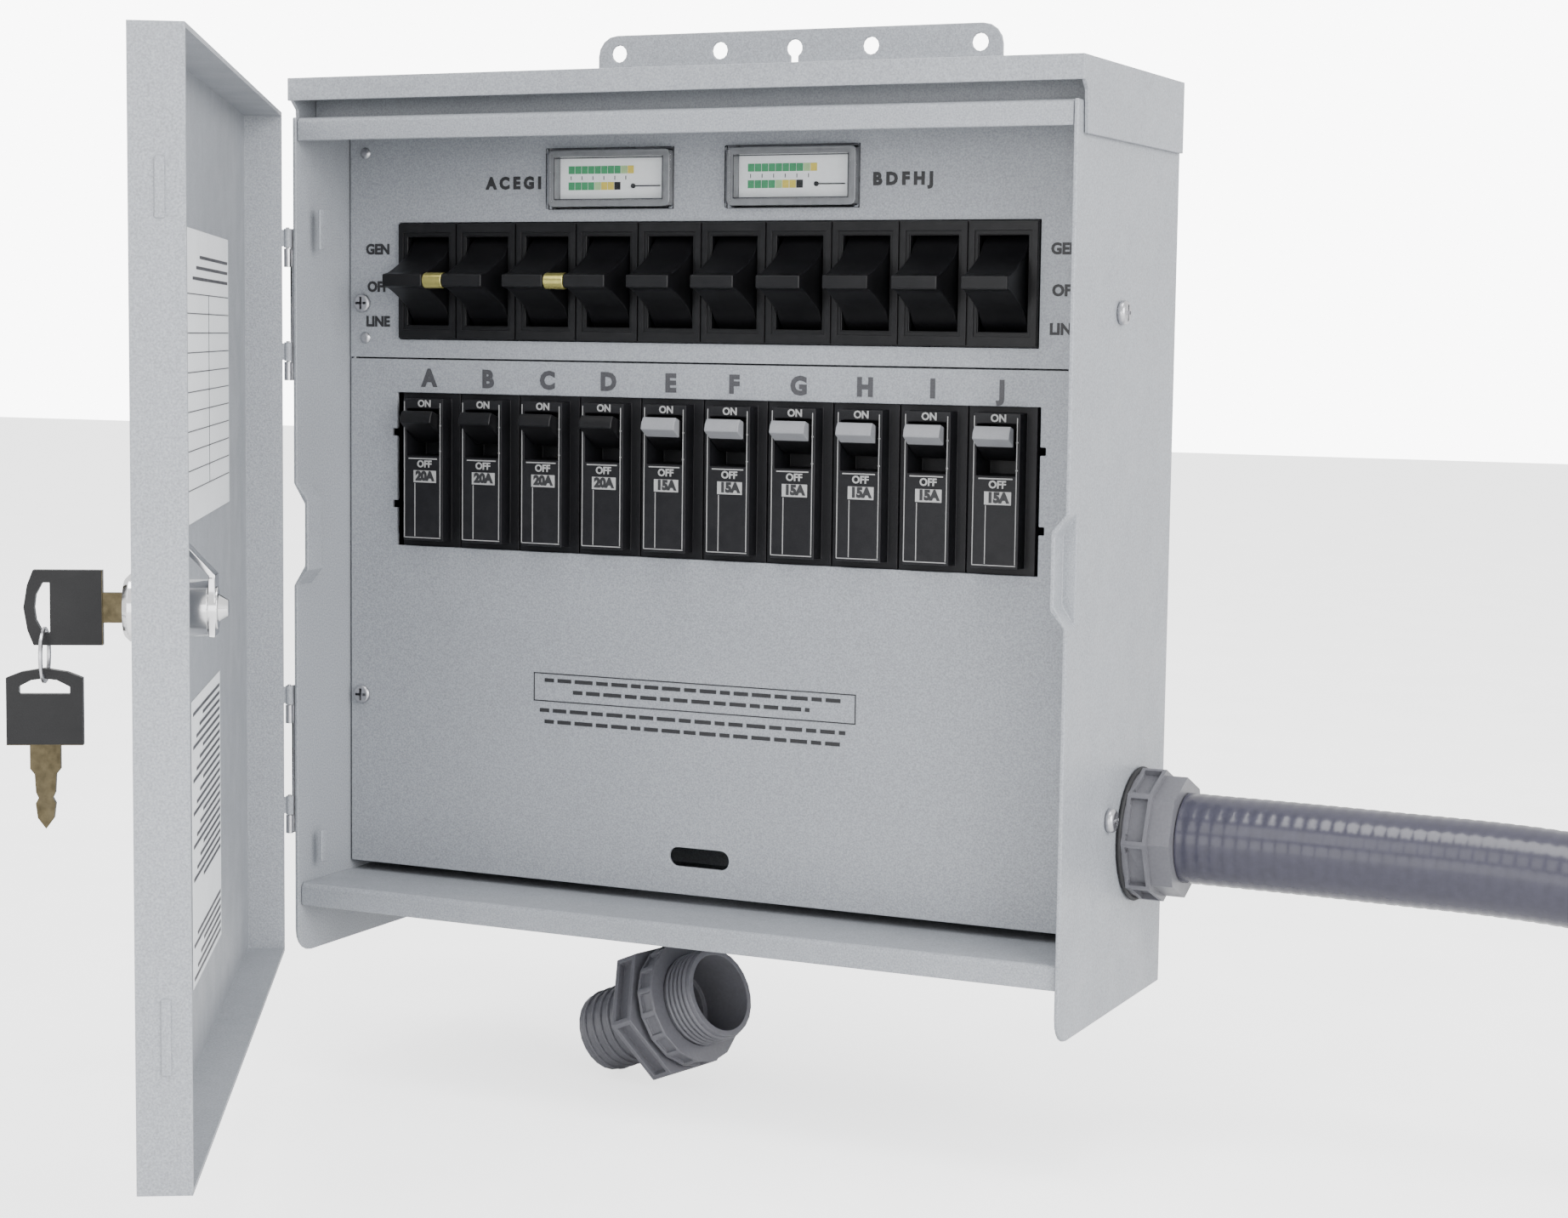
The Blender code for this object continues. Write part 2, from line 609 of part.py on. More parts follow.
def lock_plug():
    """Turning plug with its keyway, the cranked cam and the end screw."""
    plug = rod("lock_plug", PLUG_RADIUS, lock_point(0.0040), lock_point(-0.0205), 20)
    cam = box("cam", (LOCK_X - 0.0055, LOCK_X + 0.0055),
              (lock_point(-0.0183).y, lock_point(-0.0200).y),
              (LOCK_HEIGHT - 0.0075, LOCK_HEIGHT + 0.0085))
    end = lock_point(-0.0183).y
    arm = [(end, up(LOCK_HEIGHT + 0.006)), (end, up(LOCK_HEIGHT + 0.009)),
           (end - 0.0078, up(LOCK_HEIGHT + 0.0172)), (end - 0.0068, up(LOCK_HEIGHT + 0.0182)),
           (end + 0.0017, up(LOCK_HEIGHT + 0.0092)), (end + 0.0017, up(LOCK_HEIGHT + 0.006))]
    arm = extrusion("arm", [arm], SIDE, (LOCK_X - 0.0045, LOCK_X + 0.0045))
    screw = rod("screw", 0.0042, lock_point(-0.0200), lock_point(-0.0232), 16, 0.0022)
    plug = fuse(plug, cam, arm, screw)
    keyway = box("keyway", (LOCK_X - 0.0013, LOCK_X + 0.0013),
                 (lock_point(0.01).y, lock_point(-0.0130).y),
                 (LOCK_HEIGHT - 0.0045, LOCK_HEIGHT + 0.0045))
    return paint(pivot(cut(plug, keyway), lock_point(0.0)), BRASS)


def key_solid(name, along, across, head):
    """A key in the lock's vertical plane.

    along points from the bow's hole to the blade's tip, across is at right angles
    to it, and head is the outer end of the bow; all three are Y and Z pairs.
    """
    def place(points):
        return [(head[0] + along[0] * a + across[0] * c, head[1] + along[1] * a + across[1] * c)
                for a, c in points]

    half = 0.0102
    bow = [(0.0210, -half), (0.0210, half), (0.0026, half)]
    bow += [(0.0010, half * 0.6), (0.0, 0.0), (0.0010, -half * 0.6), (0.0026, -half)]
    hole = [(0.0070, -0.0068), (0.0070, 0.0068), (0.0050, 0.0068), (0.0032, 0.0034),
            (0.0028, 0.0), (0.0032, -0.0034), (0.0050, -0.0068)]
    obj = extrusion(name, [place(bow), place(hole)], SIDE, (LOCK_X - 0.0014, LOCK_X + 0.0014))
    blade = [(0.0200, 0.0041), (0.0275, 0.0041), (0.0290, 0.0029), (0.0340, 0.0026),
             (0.0355, 0.0019), (0.0370, 0.0027), (0.0410, 0.0022), (0.0440, 0.0)]
    blade += [(a, -c) for a, c in reversed(blade[:-1])]
    blade = extrusion("blade", [place(blade)], SIDE, (LOCK_X - 0.0010, LOCK_X + 0.0010))
    return paint(fuse(obj, blade), BLACK_PLASTIC)


def key_parts():
    """The key in the lock, the wire ring through its bow and the spare key."""
    bow_end = lock_point(0.0314)
    key = key_solid("key", (1.0, 0.0), (0.0, 1.0), (bow_end.y, bow_end.z))
    hook = Vector((LOCK_X, bow_end.y + 0.0053, bow_end.z - 0.0068 + 0.0010))
    radius = 0.0072
    curve = bpy.data.curves.new("key_ring", "CURVE")
    curve.dimensions = "3D"
    curve.bevel_depth = 0.0006
    curve.bevel_resolution = 1
    spline = curve.splines.new("POLY")
    count = 28
    spline.points.add(count - 1)
    for n in range(count):
        angle = 2 * pi * n / count
        spline.points[n].co = (hook.x + radius * sin(angle), hook.y,
                               hook.z - radius + radius * cos(angle), 1.0)
    spline.use_cyclic_u = True
    ring = paint(pivot(settle(link(bpy.data.objects.new("key_ring", curve))), hook), ZINC)
    low = Vector((LOCK_X, hook.y, hook.z - 2 * radius))
    spare = key_solid("spare_key", (0.0, -1.0), (1.0, 0.0), (low.y, low.z + 0.0028 + 0.0009))
    pivot(spare, low)
    pivot(key, lock_point(0.0))
    return [key, ring, spare]


def door_assembly():
    """Everything that swings with the door, hung on an empty at the hinge."""
    axis = Vector((HINGE_X, HINGE_Y, up(LOCK_HEIGHT)))
    swing = bpy.data.objects.new("door_swing", None)
    link(swing)
    swing.location = axis
    bpy.context.view_layer.update()
    for obj in [door_panel(), lock_barrel(), lock_plug()] + key_parts():
        matrix = obj.matrix_world.copy()
        obj.parent = swing
        obj.matrix_parent_inverse = Matrix.Translation(-axis)
        obj.matrix_world = matrix
    swing.rotation_euler.z = -DOOR_OPEN


# ------------------------------------------------------------------ connectors
def conduit_connector():
    """Conduit fitting through the right side: seal, body and nut."""
    y = CONDUIT_Y
    z = up(CONDUIT_HEIGHT)
    wall = BOX_HALF + GAP
    hub = rod("conduit_connector", 0.0145, (0.1400, y, z), (wall + 0.001, y, z), 24)
    seal = rod("seal", 0.0222, (wall, y, z), (wall + 0.0020, y, z), 32)
    body = rod("body", 0.0236, (wall + 0.0016, y, z), (wall + 0.0105, y, z), 8)
    nut = rod("nut", 0.0215, (wall + 0.0090, y, z), (CONDUIT_START - GAP, y, z), 8)
    bore = rod("bore", 0.0115, (0.13, y, z), (CONDUIT_START - 0.003, y, z), 20)
    return paint(cut(fuse(hub, seal, body, nut), bore), GREY_NYLON)


def conduit_locknut():
    """Ring that clamps the fitting from inside the box."""
    y = CONDUIT_Y
    z = up(CONDUIT_HEIGHT)
    inner = BOX_HALF - SHEET - GAP
    ring = rod("conduit_locknut", 0.0195, (inner - 0.0045, y, z), (inner, y, z), 8)
    bore = rod("bore", 0.0148, (0.13, y, z), (0.16, y, z), 24)
    return paint(cut(ring, bore), GREY_NYLON)


def smooth_route(points, spacing):
    """Points along a Catmull-Rom curve through a route."""
    guide = [Vector(p) for p in points]
    guide = [2 * guide[0] - guide[1]] + guide + [2 * guide[-1] - guide[-2]]
    route = []
    for n in range(1, len(guide) - 2):
        a, b, c, d = guide[n - 1:n + 3]
        steps = max(1, round((c - b).length / spacing))
        for step in range(steps):
            t = step / steps
            route.append(0.5 * (2 * b + (c - a) * t + (2 * a - 5 * b + 4 * c - d) * t * t
                                + (3 * b - a - 3 * c + d) * t ** 3))
    return route + [guide[-2]]


def conduit():
    """Flexible conduit: straight out of the fitting, then sagging to its free end."""
    route = smooth_route([(x, y, up(h)) for x, y, h in CONDUIT_ROUTE], 0.034)
    curve = bpy.data.curves.new("conduit", "CURVE")
    curve.dimensions = "3D"
    curve.bevel_depth = CONDUIT_RADIUS
    curve.bevel_resolution = 3
    curve.use_fill_caps = True
    spline = curve.splines.new("POLY")
    spline.points.add(len(route) - 1)
    for point, place in zip(spline.points, route):
        point.co = (*place, 1.0)
    return paint(settle(link(bpy.data.objects.new("conduit", curve))), CONDUIT_GREY)


def loose_connector():
    """The second fitting and its locknut, lying on a corner and on the ferrule."""
    tilt = atan2(LOOSE_HEXAGON - LOOSE_FERRULE, LOOSE_BACK)
    turn = Matrix.Rotation(LOOSE_YAW, 4, "Z") @ Matrix.Rotation(-tilt, 4, "Y")
    lift = LOOSE_HEXAGON * cos(tilt) + 0.0002
    place = Matrix.Translation((LOOSE_AT[0], LOOSE_AT[1], up(GROUND + lift))) @ turn

    def turned(name, radius, start, end, sides):
        """A length of the fitting, its axis turned into place."""
        obj = rod(name, radius, (start, 0, 0), (end, 0, 0), sides)
        obj.matrix_world = place @ obj.matrix_world
        return obj

    body = turned("loose_connector", LOOSE_HEXAGON, 0.0, 0.0100, 6)
    barrel = turned("barrel", LOOSE_FERRULE, -LOOSE_BACK, 0.001, 24)
    thread = turned("thread", LOOSE_THREAD, 0.009, LOOSE_NOSE, 24)
    bore = turned("bore", 0.0125, -0.05, 0.05, 24)
    paint(cut(fuse(body, barrel, thread), bore), GREY_NYLON)
    ring = turned("loose_locknut", 0.0235, 0.0125, 0.0200, 16)
    inner = turned("inner", LOOSE_THREAD + GAP, 0.0, 0.05, 24)
    paint(cut(ring, inner), GREY_NYLON)


def main():
    """Build every piece."""
    clear_scene()
    back_panel()
    side_panel("left_side_panel", -1)
    side_panel("right_side_panel", 1)
    lipped_plate("bottom_ledge", LEDGE_TOP, 0.0015 - BOX_DEPTH)
    lipped_plate("top_plate", BOX_TOP, 0.0005 - BOX_DEPTH)
    hood()
    switch_panel()
    lower_cover()
    inner_chassis()
    neutral_bar()
    switch_bank()
    for index in range(10):
        switch_handle(index)
        breaker(index)
        breaker_toggle(index)
    handle_tie("handle_tie_ab", 0)
    handle_tie("handle_tie_cd", 2)
    for side, x in zip(("left", "right"), METER_CENTRES):
        meter("meter_" + side, x)
        meter_needle("meter_needle_" + side, x)
    for name, low in zip(("hinge_lower", "hinge_upper"), HINGE_HEIGHTS):
        hinge(name, low)
    door_assembly()
    conduit_connector()
    conduit_locknut()
    conduit()
    loose_connector()


main()
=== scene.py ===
"""Looks of a ten-circuit manual transfer switch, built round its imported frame.

Units are metres: X runs along the width, Y into the wall, Z up.  The origin is the
centre of the wall face.  The file is laid out as an add-on and run as a script.
"""
import json
from math import atan2, cos, pi, radians, sin

import bpy
from bpy.props import FloatProperty, FloatVectorProperty, PointerProperty
from mathutils import Matrix, Vector


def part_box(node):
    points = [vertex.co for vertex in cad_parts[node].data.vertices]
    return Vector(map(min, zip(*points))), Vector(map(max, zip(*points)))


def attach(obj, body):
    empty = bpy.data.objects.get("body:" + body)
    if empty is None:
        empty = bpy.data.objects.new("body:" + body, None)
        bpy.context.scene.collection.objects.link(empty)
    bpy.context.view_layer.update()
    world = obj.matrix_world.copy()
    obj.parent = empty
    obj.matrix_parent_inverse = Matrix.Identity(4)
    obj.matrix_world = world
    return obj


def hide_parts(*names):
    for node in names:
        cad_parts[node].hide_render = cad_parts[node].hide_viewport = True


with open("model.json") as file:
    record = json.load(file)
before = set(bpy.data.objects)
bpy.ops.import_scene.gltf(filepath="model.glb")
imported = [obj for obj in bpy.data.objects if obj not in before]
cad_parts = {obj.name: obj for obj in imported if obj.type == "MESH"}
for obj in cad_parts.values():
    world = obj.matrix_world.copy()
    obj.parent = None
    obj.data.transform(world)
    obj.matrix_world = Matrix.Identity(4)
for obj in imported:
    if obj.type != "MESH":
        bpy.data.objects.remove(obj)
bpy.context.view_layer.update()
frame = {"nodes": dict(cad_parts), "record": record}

bl_info = {
    "name": "Transfer Switch Looks",
    "version": (1, 0, 0),
    "blender": (4, 5, 0),
    "location": "3D View > Sidebar > Switch",
    "description": "Builds the finished surfaces of a manual transfer switch",
    "category": "Object",
}

# ------------------------------------------------------ places, from the frame
POLES = "abcdefghij"
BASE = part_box("left_side_panel")[0].z         # lower edges of the sides
SHEET = 0.0015                                # steel sheet
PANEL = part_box("lower_cover")[0].y            # front face of the dead front
PRINT = 0.00012                               # how far print stands off its surface
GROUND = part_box("loose_connector")[0].z       # what the loose fitting lies on
HINGE = Vector((-0.1526, -0.1126, 0.0))       # the door's pins
OPEN_ANGLE = radians(-59.7)                   # the door from shut to how it stands
SHUT_FACE = -0.1296                           # door's outer face when shut
RIVET_HEAD = 0.0024                           # radius
LOCK_X = 0.1294
LOCK_HEIGHT = 0.158
TEXT_DEPTH = 0.00006
CONDUIT_ROUTE = (                             # X, Y and height of the conduit's axis
    (0.1703, -0.0310, 0.0595),
    (0.235, -0.0310, 0.0588),
    (0.302, -0.0312, 0.0568),
    (0.375, -0.0325, 0.0480),
    (0.450, -0.0350, 0.0320),
    (0.525, -0.0385, 0.0205),
    (0.600, -0.0425, 0.0170),
)
RIB_PITCH = 0.0046                            # of the conduit's ribs
RIB_STEPS = 4                                 # rings in each rib
MOUTH = (0.0144, 0.0120, 0.0500)              # loose fitting: radius, start, end
CHANNEL = (-0.0960, -0.0945)                  # web below the hood, front and back

# ----------------------------------------------------------- camera and lighting
CAMERA_AT = (0.45266, -0.98248, 0.07342)
CAMERA_RIGHT = Vector((0.90698, 0.42097, 0.01315))
CAMERA_ABOVE = Vector((-0.05233, 0.08165, 0.99529))
CAMERA_LENS = 64.73
LAMPS = (                                     # name, place, size and power
    ("key", (-0.35, -1.7, 1.3), 1.0, 7),
    ("fill", (1.7, -0.9, 0.6), 1.2, 36),
    ("top", (0.1, -0.4, 1.9), 1.0, 24),
    ("front", (0.2, -1.7, -0.2), 1.4, 14),
)
SURROUND_LIGHT = 1.45
BACKDROP_LIGHT = 9.0                          # only where the camera sees it
FLOOR_GLOW = 1.8                              # only where the camera sees it
DULL_SPECULAR = 0.28                          # of the black plastics


def up(height):
    """World Z of a height above the lower edges of the sides."""
    return BASE + height


def centre_x(node):
    """Middle of a CAD node across the width."""
    low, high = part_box(node)
    return (low.x + high.x) / 2


def door_place():
    """Takes a point of the shut door to where the door stands."""
    turn = Matrix.Rotation(OPEN_ANGLE, 4, "Z")
    return Matrix.Translation(HINGE) @ turn @ Matrix.Translation(-HINGE)


# ------------------------------------------------------------------ properties
class SwitchSizes(bpy.types.PropertyGroup):
    """Sizes that a user may change."""
    sheet_round: FloatProperty(
        name="Sheet rounding", description="Rounding of the steel's edges",
        default=0.00045, min=0.0001, unit="LENGTH")
    plastic_round: FloatProperty(
        name="Plastic rounding", description="Rounding of moulded edges",
        default=0.0005, min=0.0001, unit="LENGTH")
    screw_head: FloatProperty(
        name="Screw head", description="Radius of the panel screws' heads",
        default=0.0037, min=0.001, unit="LENGTH")
    letter: FloatProperty(
        name="Legend size", description="Size of the printed legends",
        default=0.0058, min=0.001, unit="LENGTH")
    conduit_width: FloatProperty(
        name="Conduit width", description="Outer diameter of the conduit",
        default=0.032, min=0.01, unit="LENGTH")


def colour_property(name, description, value):
    """A colour that a user may change."""
    return FloatVectorProperty(name=name, description=description, default=value,
                               subtype="COLOR", size=3, min=0.0, max=1.0)


class SwitchColours(bpy.types.PropertyGroup):
    """Colours that a user may change."""
    paint: colour_property("Enclosure paint", "Grey of the enclosure", (0.285, 0.30, 0.325))
    black: colour_property("Switch plastic", "Black of the switches", (0.004, 0.004, 0.0048))
    charcoal: colour_property("Breaker plastic", "Breakers' cases", (0.006, 0.006, 0.0075))
    toggle: colour_property("Toggle plastic", "Grey breaker toggles", (0.22, 0.225, 0.24))
    brass: colour_property("Brass", "Sleeves, bar and plug", (0.72, 0.64, 0.20))
    zinc: colour_property("Zinc plate", "Screws, hinges and chassis", (0.50, 0.50, 0.52))
    chrome: colour_property("Chrome", "Lock and cam", (0.75, 0.75, 0.76))
    nylon: colour_property("Nylon", "Conduit fittings", (0.12, 0.12, 0.135))
    jacket: colour_property("Conduit jacket", "Flexible conduit", (0.034, 0.033, 0.052))
    paper: colour_property("Paper", "Door labels", (0.80, 0.82, 0.84))


# ------------------------------------------------------------------- mesh tools
def deselect():
    """Leave edit mode and select nothing."""
    if bpy.context.object and bpy.context.object.mode != "OBJECT":
        bpy.ops.object.mode_set(mode="OBJECT")
    bpy.ops.object.select_all(action="DESELECT")


def only(obj):
    """Make one object the selected and active one."""
    deselect()
    obj.hide_set(False)
    obj.select_set(True)
    bpy.context.view_layer.objects.active = obj
    return obj


def rest(obj):
    """Put an object's place into its mesh."""
    only(obj)
    bpy.ops.object.transform_apply(location=True, rotation=True, scale=True)
    return obj


def placed(obj, matrix):
    """Move a finished mesh by a matrix."""
    obj.data.transform(matrix)
    obj.data.update()
    return obj


def block(name, low, high):
    """A block between two corners, ready to be shaped."""
    deselect()
    low = Vector(low)
    high = Vector(high)
    bpy.ops.mesh.primitive_cube_add(size=1.0, location=(low + high) / 2)
    obj = bpy.context.object
    obj.name = name
    obj.scale = high - low
    return rest(obj)


def rod(name, radius, start, end, sides=32, end_radius=None):
    """A round bar or cone frustum from one point to another."""
    deselect()
    start = Vector(start)
    end = Vector(end)
    far = radius if end_radius is None else end_radius
    bpy.ops.mesh.primitive_cone_add(vertices=sides, radius1=radius, radius2=far,
                                    depth=(end - start).length)
    obj = bpy.context.object
    obj.name = name
    obj.location = (start + end) / 2
    obj.rotation_mode = "QUATERNION"
    obj.rotation_quaternion = Vector((0, 0, 1)).rotation_difference(end - start)
    return rest(obj)


def select_faces(obj, test):
    """Enter edit mode with the faces selected that pass a test on centre and normal."""
    only(obj)
    bpy.ops.object.mode_set(mode="EDIT")
    bpy.ops.mesh.select_mode(type="FACE")
    bpy.ops.mesh.select_all(action="DESELECT")
    bpy.ops.object.mode_set(mode="OBJECT")
    for face in obj.data.polygons:
        face.select = test(face.center, face.normal)
    bpy.ops.object.mode_set(mode="EDIT")


def sunk(obj, test, inset, depth):
    """Inset the chosen faces and push them in."""
    select_faces(obj, test)
    bpy.ops.mesh.inset(thickness=inset, use_individual=True)
    bpy.ops.mesh.extrude_region_shrink_fatten(
        TRANSFORM_OT_shrink_fatten={"value": -depth})
    bpy.ops.object.mode_set(mode="OBJECT")
    return obj


def bevelled(obj, width, segments=2, angle=32):
    """Round the edges, keeping the large faces flat to the eye."""
    only(obj)
    bevel = obj.modifiers.new("edges", "BEVEL")
    bevel.width = width
    bevel.segments = segments
    bevel.limit_method = "ANGLE"
    bevel.angle_limit = radians(angle)
    bpy.ops.object.modifier_apply(modifier=bevel.name)
    bpy.ops.object.shade_smooth_by_angle(angle=radians(40))
    flat = obj.modifiers.new("flat", "WEIGHTED_NORMAL")
    flat.weight = 100
    flat.keep_sharp = True
    bpy.ops.object.modifier_apply(modifier=flat.name)
    return obj


def carved(obj, cutter):
    """Cut one shape out of another and drop the cutter."""
    only(obj)
    change = obj.modifiers.new("cut", "BOOLEAN")
    change.object = cutter
    change.operation = "DIFFERENCE"
    change.solver = "EXACT"
    bpy.ops.object.modifier_apply(modifier=change.name)
    bpy.data.objects.remove(cutter, do_unlink=True)
    return obj


def joined(name, parts):
    """Several loose shapes as one piece."""
    deselect()
    for part in parts:
        part.select_set(True)
    bpy.context.view_layer.objects.active = parts[0]
    bpy.ops.object.join()
    obj = bpy.context.object
    obj.name = name
    return obj


def copied(obj, name, matrix):
    """A copy with its own mesh, moved by a matrix."""
    new = obj.copy()
    new.data = obj.data.copy()
    new.name = name
    bpy.context.scene.collection.objects.link(new)
    return placed(new, matrix)


def piece(obj, body, look, slot_name, *nodes):
    """Finish a piece: give it its material and its body, and hide the CAD nodes it stands for."""
    obj.data.materials.clear()
    obj.data.materials.append(look)
    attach(obj, body)
    if nodes:
        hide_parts(*nodes)
    return obj


def merged(node, name):
    """A clean copy of a CAD node's mesh, its triangles joined into flat faces."""
    source = frame["nodes"][node]
    obj = bpy.data.objects.new(name, source.data.copy())
    bpy.context.scene.collection.objects.link(obj)
    only(obj)
    bpy.ops.object.mode_set(mode="EDIT")
    bpy.ops.mesh.select_all(action="SELECT")
    bpy.ops.mesh.remove_doubles(threshold=0.00001)
    bpy.ops.mesh.dissolve_limited(angle_limit=radians(0.5))
    bpy.ops.object.mode_set(mode="OBJECT")
    return obj


def body_of_node(node):
    """The body that a CAD node rides on."""
    for body, nodes in frame["record"]["behaviour"]["bodies"].items():
        if node in nodes:
            return body
    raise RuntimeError("no body holds " + node)


def refined(node, look, slot_name, width, segments=2, angle=32):
    """The CAD shape with rounded edges, standing for its node."""
    obj = bevelled(merged(node, node + "_finish"), width, segments, angle)
    return piece(obj, body_of_node(node), look, slot_name, node)


def split(node, point, normal, ahead, behind):
    """The CAD shape in two pieces: ahead of a plane, and behind it.

    Each side is given as its name, look, slot and edge rounding.
    """
    for side, (name, look, slot_name, width) in (("ahead", ahead), ("behind", behind)):
        obj = merged(node, node + "_" + name)
        only(obj)
        bpy.ops.object.mode_set(mode="EDIT")
        bpy.ops.mesh.select_all(action="SELECT")
        bpy.ops.mesh.bisect(plane_co=tuple(point), plane_no=tuple(normal), use_fill=True,
                            clear_inner=side == "ahead", clear_outer=side == "behind")
        bpy.ops.object.mode_set(mode="OBJECT")
        bevelled(obj, width, 2)
        piece(obj, body_of_node(node), LOOKS[look], slot_name, node)


def lettering(name, text, size, x, z, y, depth=TEXT_DEPTH, bold=0.03):
    """Printed letters that face the front, centred on X and Z."""
    deselect()
    bpy.ops.object.text_add(location=(x, y, z), rotation=(pi / 2, 0, 0))
    obj = bpy.context.object
    obj.name = name
    obj.data.body = text
    obj.data.size = size
    obj.data.extrude = depth
    obj.data.offset = size * bold
    obj.data.resolution_u = 3
    obj.data.align_x = "CENTER"
    obj.data.align_y = "CENTER"
    bpy.ops.object.convert(target="MESH")
    return rest(bpy.context.object)


def strip(name, x, z, y, depth=TEXT_DEPTH):
    """A thin printed bar between two X and two Z, its edges eased."""
    return bevelled(block(name, (x[0], y - depth, z[0]), (x[1], y + depth, z[1])), 0.00002, 1)


def hoop(name, radius, thick, squash):
    """A ring round the X axis, flattened along it."""
    deselect()
    bpy.ops.mesh.primitive_torus_add(major_radius=radius, minor_radius=thick,
                                     major_segments=64, minor_segments=8)
    obj = bpy.context.object
    obj.name = name
    bpy.ops.object.mode_set(mode="EDIT")
    bpy.ops.mesh.select_all(action="SELECT")
    bpy.ops.transform.resize(value=(1.0, 1.0, squash))
    bpy.ops.object.mode_set(mode="OBJECT")
    bpy.ops.object.shade_smooth()
    return placed(obj, Matrix.Rotation(pi / 2, 4, "Y"))


# -------------------------------------------------------------------- materials
LOOKS = {}


def node_group(name, inputs, outputs):
    """An empty shader group with float or colour sockets."""
    group = bpy.data.node_groups.new(name, "ShaderNodeTree")
    for label, kind, value in inputs:
        socket = group.interface.new_socket(label, in_out="INPUT", socket_type=kind)
        socket.default_value = value
    for label, kind in outputs:
        group.interface.new_socket(label, in_out="OUTPUT", socket_type=kind)
    return group, group.nodes.new("NodeGroupInput"), group.nodes.new("NodeGroupOutput")


def noise(tree, scale, detail=2.0, vector=None):
    """A noise texture on object coordinates."""
    node = tree.nodes.new("ShaderNodeTexNoise")
    node.inputs["Detail"].default_value = detail
    if isinstance(scale, float):
        node.inputs["Scale"].default_value = scale
    else:
        tree.links.new(scale, node.inputs["Scale"])
    if vector is None:
        vector = tree.nodes.new("ShaderNodeTexCoord").outputs["Object"]
    tree.links.new(vector, node.inputs["Vector"])
    return node.outputs["Fac"]


def ramp(tree, fac, low, high, start=0.35, end=0.65):
    """Map a mask to a range of values."""
    node = tree.nodes.new("ShaderNodeMapRange")
    node.inputs["From Min"].default_value = start
    node.inputs["From Max"].default_value = end
    for value, label in ((low, "To Min"), (high, "To Max")):
        if isinstance(value, float):
            node.inputs[label].default_value = value
        else:
            tree.links.new(value, node.inputs[label])
    tree.links.new(fac, node.inputs["Value"])
    return node.outputs["Result"]


def tint(tree, fac, first, second):
    """Mix two colours by a mask."""
    node = tree.nodes.new("ShaderNodeMix")
    node.data_type = "RGBA"
    tree.links.new(fac, node.inputs["Factor"])
    for value, label in ((first, "A"), (second, "B")):
        socket = [s for s in node.inputs if s.name == label and s.type == "RGBA"][0]
        if isinstance(value, tuple):
            socket.default_value = value
        else:
            tree.links.new(value, socket)
    return [s for s in node.outputs if s.type == "RGBA"][0]


def make_grain():
    """Fine speckle: a colour, a roughness and a height from one base colour."""
    group, given, made = node_group(
        "surface_grain",
        (("Colour", "NodeSocketColor", (0.5, 0.5, 0.5, 1)), ("Scale", "NodeSocketFloat", 1500.0),
         ("Contrast", "NodeSocketFloat", 0.15), ("Roughness", "NodeSocketFloat", 0.5)),
        (("Colour", "NodeSocketColor"), ("Roughness", "NodeSocketFloat"),
         ("Height", "NodeSocketFloat")))
    fine = noise(group, given.outputs["Scale"], 3.0)
    broad = noise(group, 14.0, 2.0)
    speck = ramp(group, fine, -1.0, 1.0, 0.3, 0.7)
    scaled = group.nodes.new("ShaderNodeMath")
    scaled.operation = "MULTIPLY_ADD"
    group.links.new(speck, scaled.inputs[0])
    group.links.new(given.outputs["Contrast"], scaled.inputs[1])
    group.links.new(ramp(group, broad, 0.97, 1.03), scaled.inputs[2])
    shade = group.nodes.new("ShaderNodeVectorMath")
    shade.operation = "SCALE"
    group.links.new(given.outputs["Colour"], shade.inputs[0])
    group.links.new(scaled.outputs[0], shade.inputs["Scale"])
    group.links.new(shade.outputs[0], made.inputs["Colour"])
    rough = group.nodes.new("ShaderNodeMath")
    rough.operation = "MULTIPLY"
    group.links.new(given.outputs["Roughness"], rough.inputs[0])
    group.links.new(ramp(group, noise(group, 60.0, 3.0), 0.85, 1.15), rough.inputs[1])
    group.links.new(rough.outputs[0], made.inputs["Roughness"])
    group.links.new(fine, made.inputs["Height"])
    return group


def make_wear():
    """Lighter rubbed edges, from the surface's own pointiness."""
    group, given, made = node_group(
        "edge_wear",
        (("Colour", "NodeSocketColor", (0.5, 0.5, 0.5, 1)),
         ("Worn", "NodeSocketColor", (0.7, 0.7, 0.7, 1)), ("Amount", "NodeSocketFloat", 0.3)),
        (("Colour", "NodeSocketColor"), ("Mask", "NodeSocketFloat")))
    geometry = group.nodes.new("ShaderNodeNewGeometry")
    edge = ramp(group, geometry.outputs["Pointiness"], 0.0, 1.0, 0.52, 0.62)
    broken = group.nodes.new("ShaderNodeMath")
    broken.operation = "MULTIPLY"
    group.links.new(edge, broken.inputs[0])
    group.links.new(ramp(group, noise(group, 220.0, 4.0), 0.2, 1.0, 0.4, 0.6), broken.inputs[1])
    scaled = group.nodes.new("ShaderNodeMath")
    scaled.operation = "MULTIPLY"
    group.links.new(broken.outputs[0], scaled.inputs[0])
    group.links.new(given.outputs["Amount"], scaled.inputs[1])
    group.links.new(scaled.outputs[0], made.inputs["Mask"])
    group.links.new(tint(group, scaled.outputs[0], given.outputs["Colour"],
                         given.outputs["Worn"]), made.inputs["Colour"])
    return group


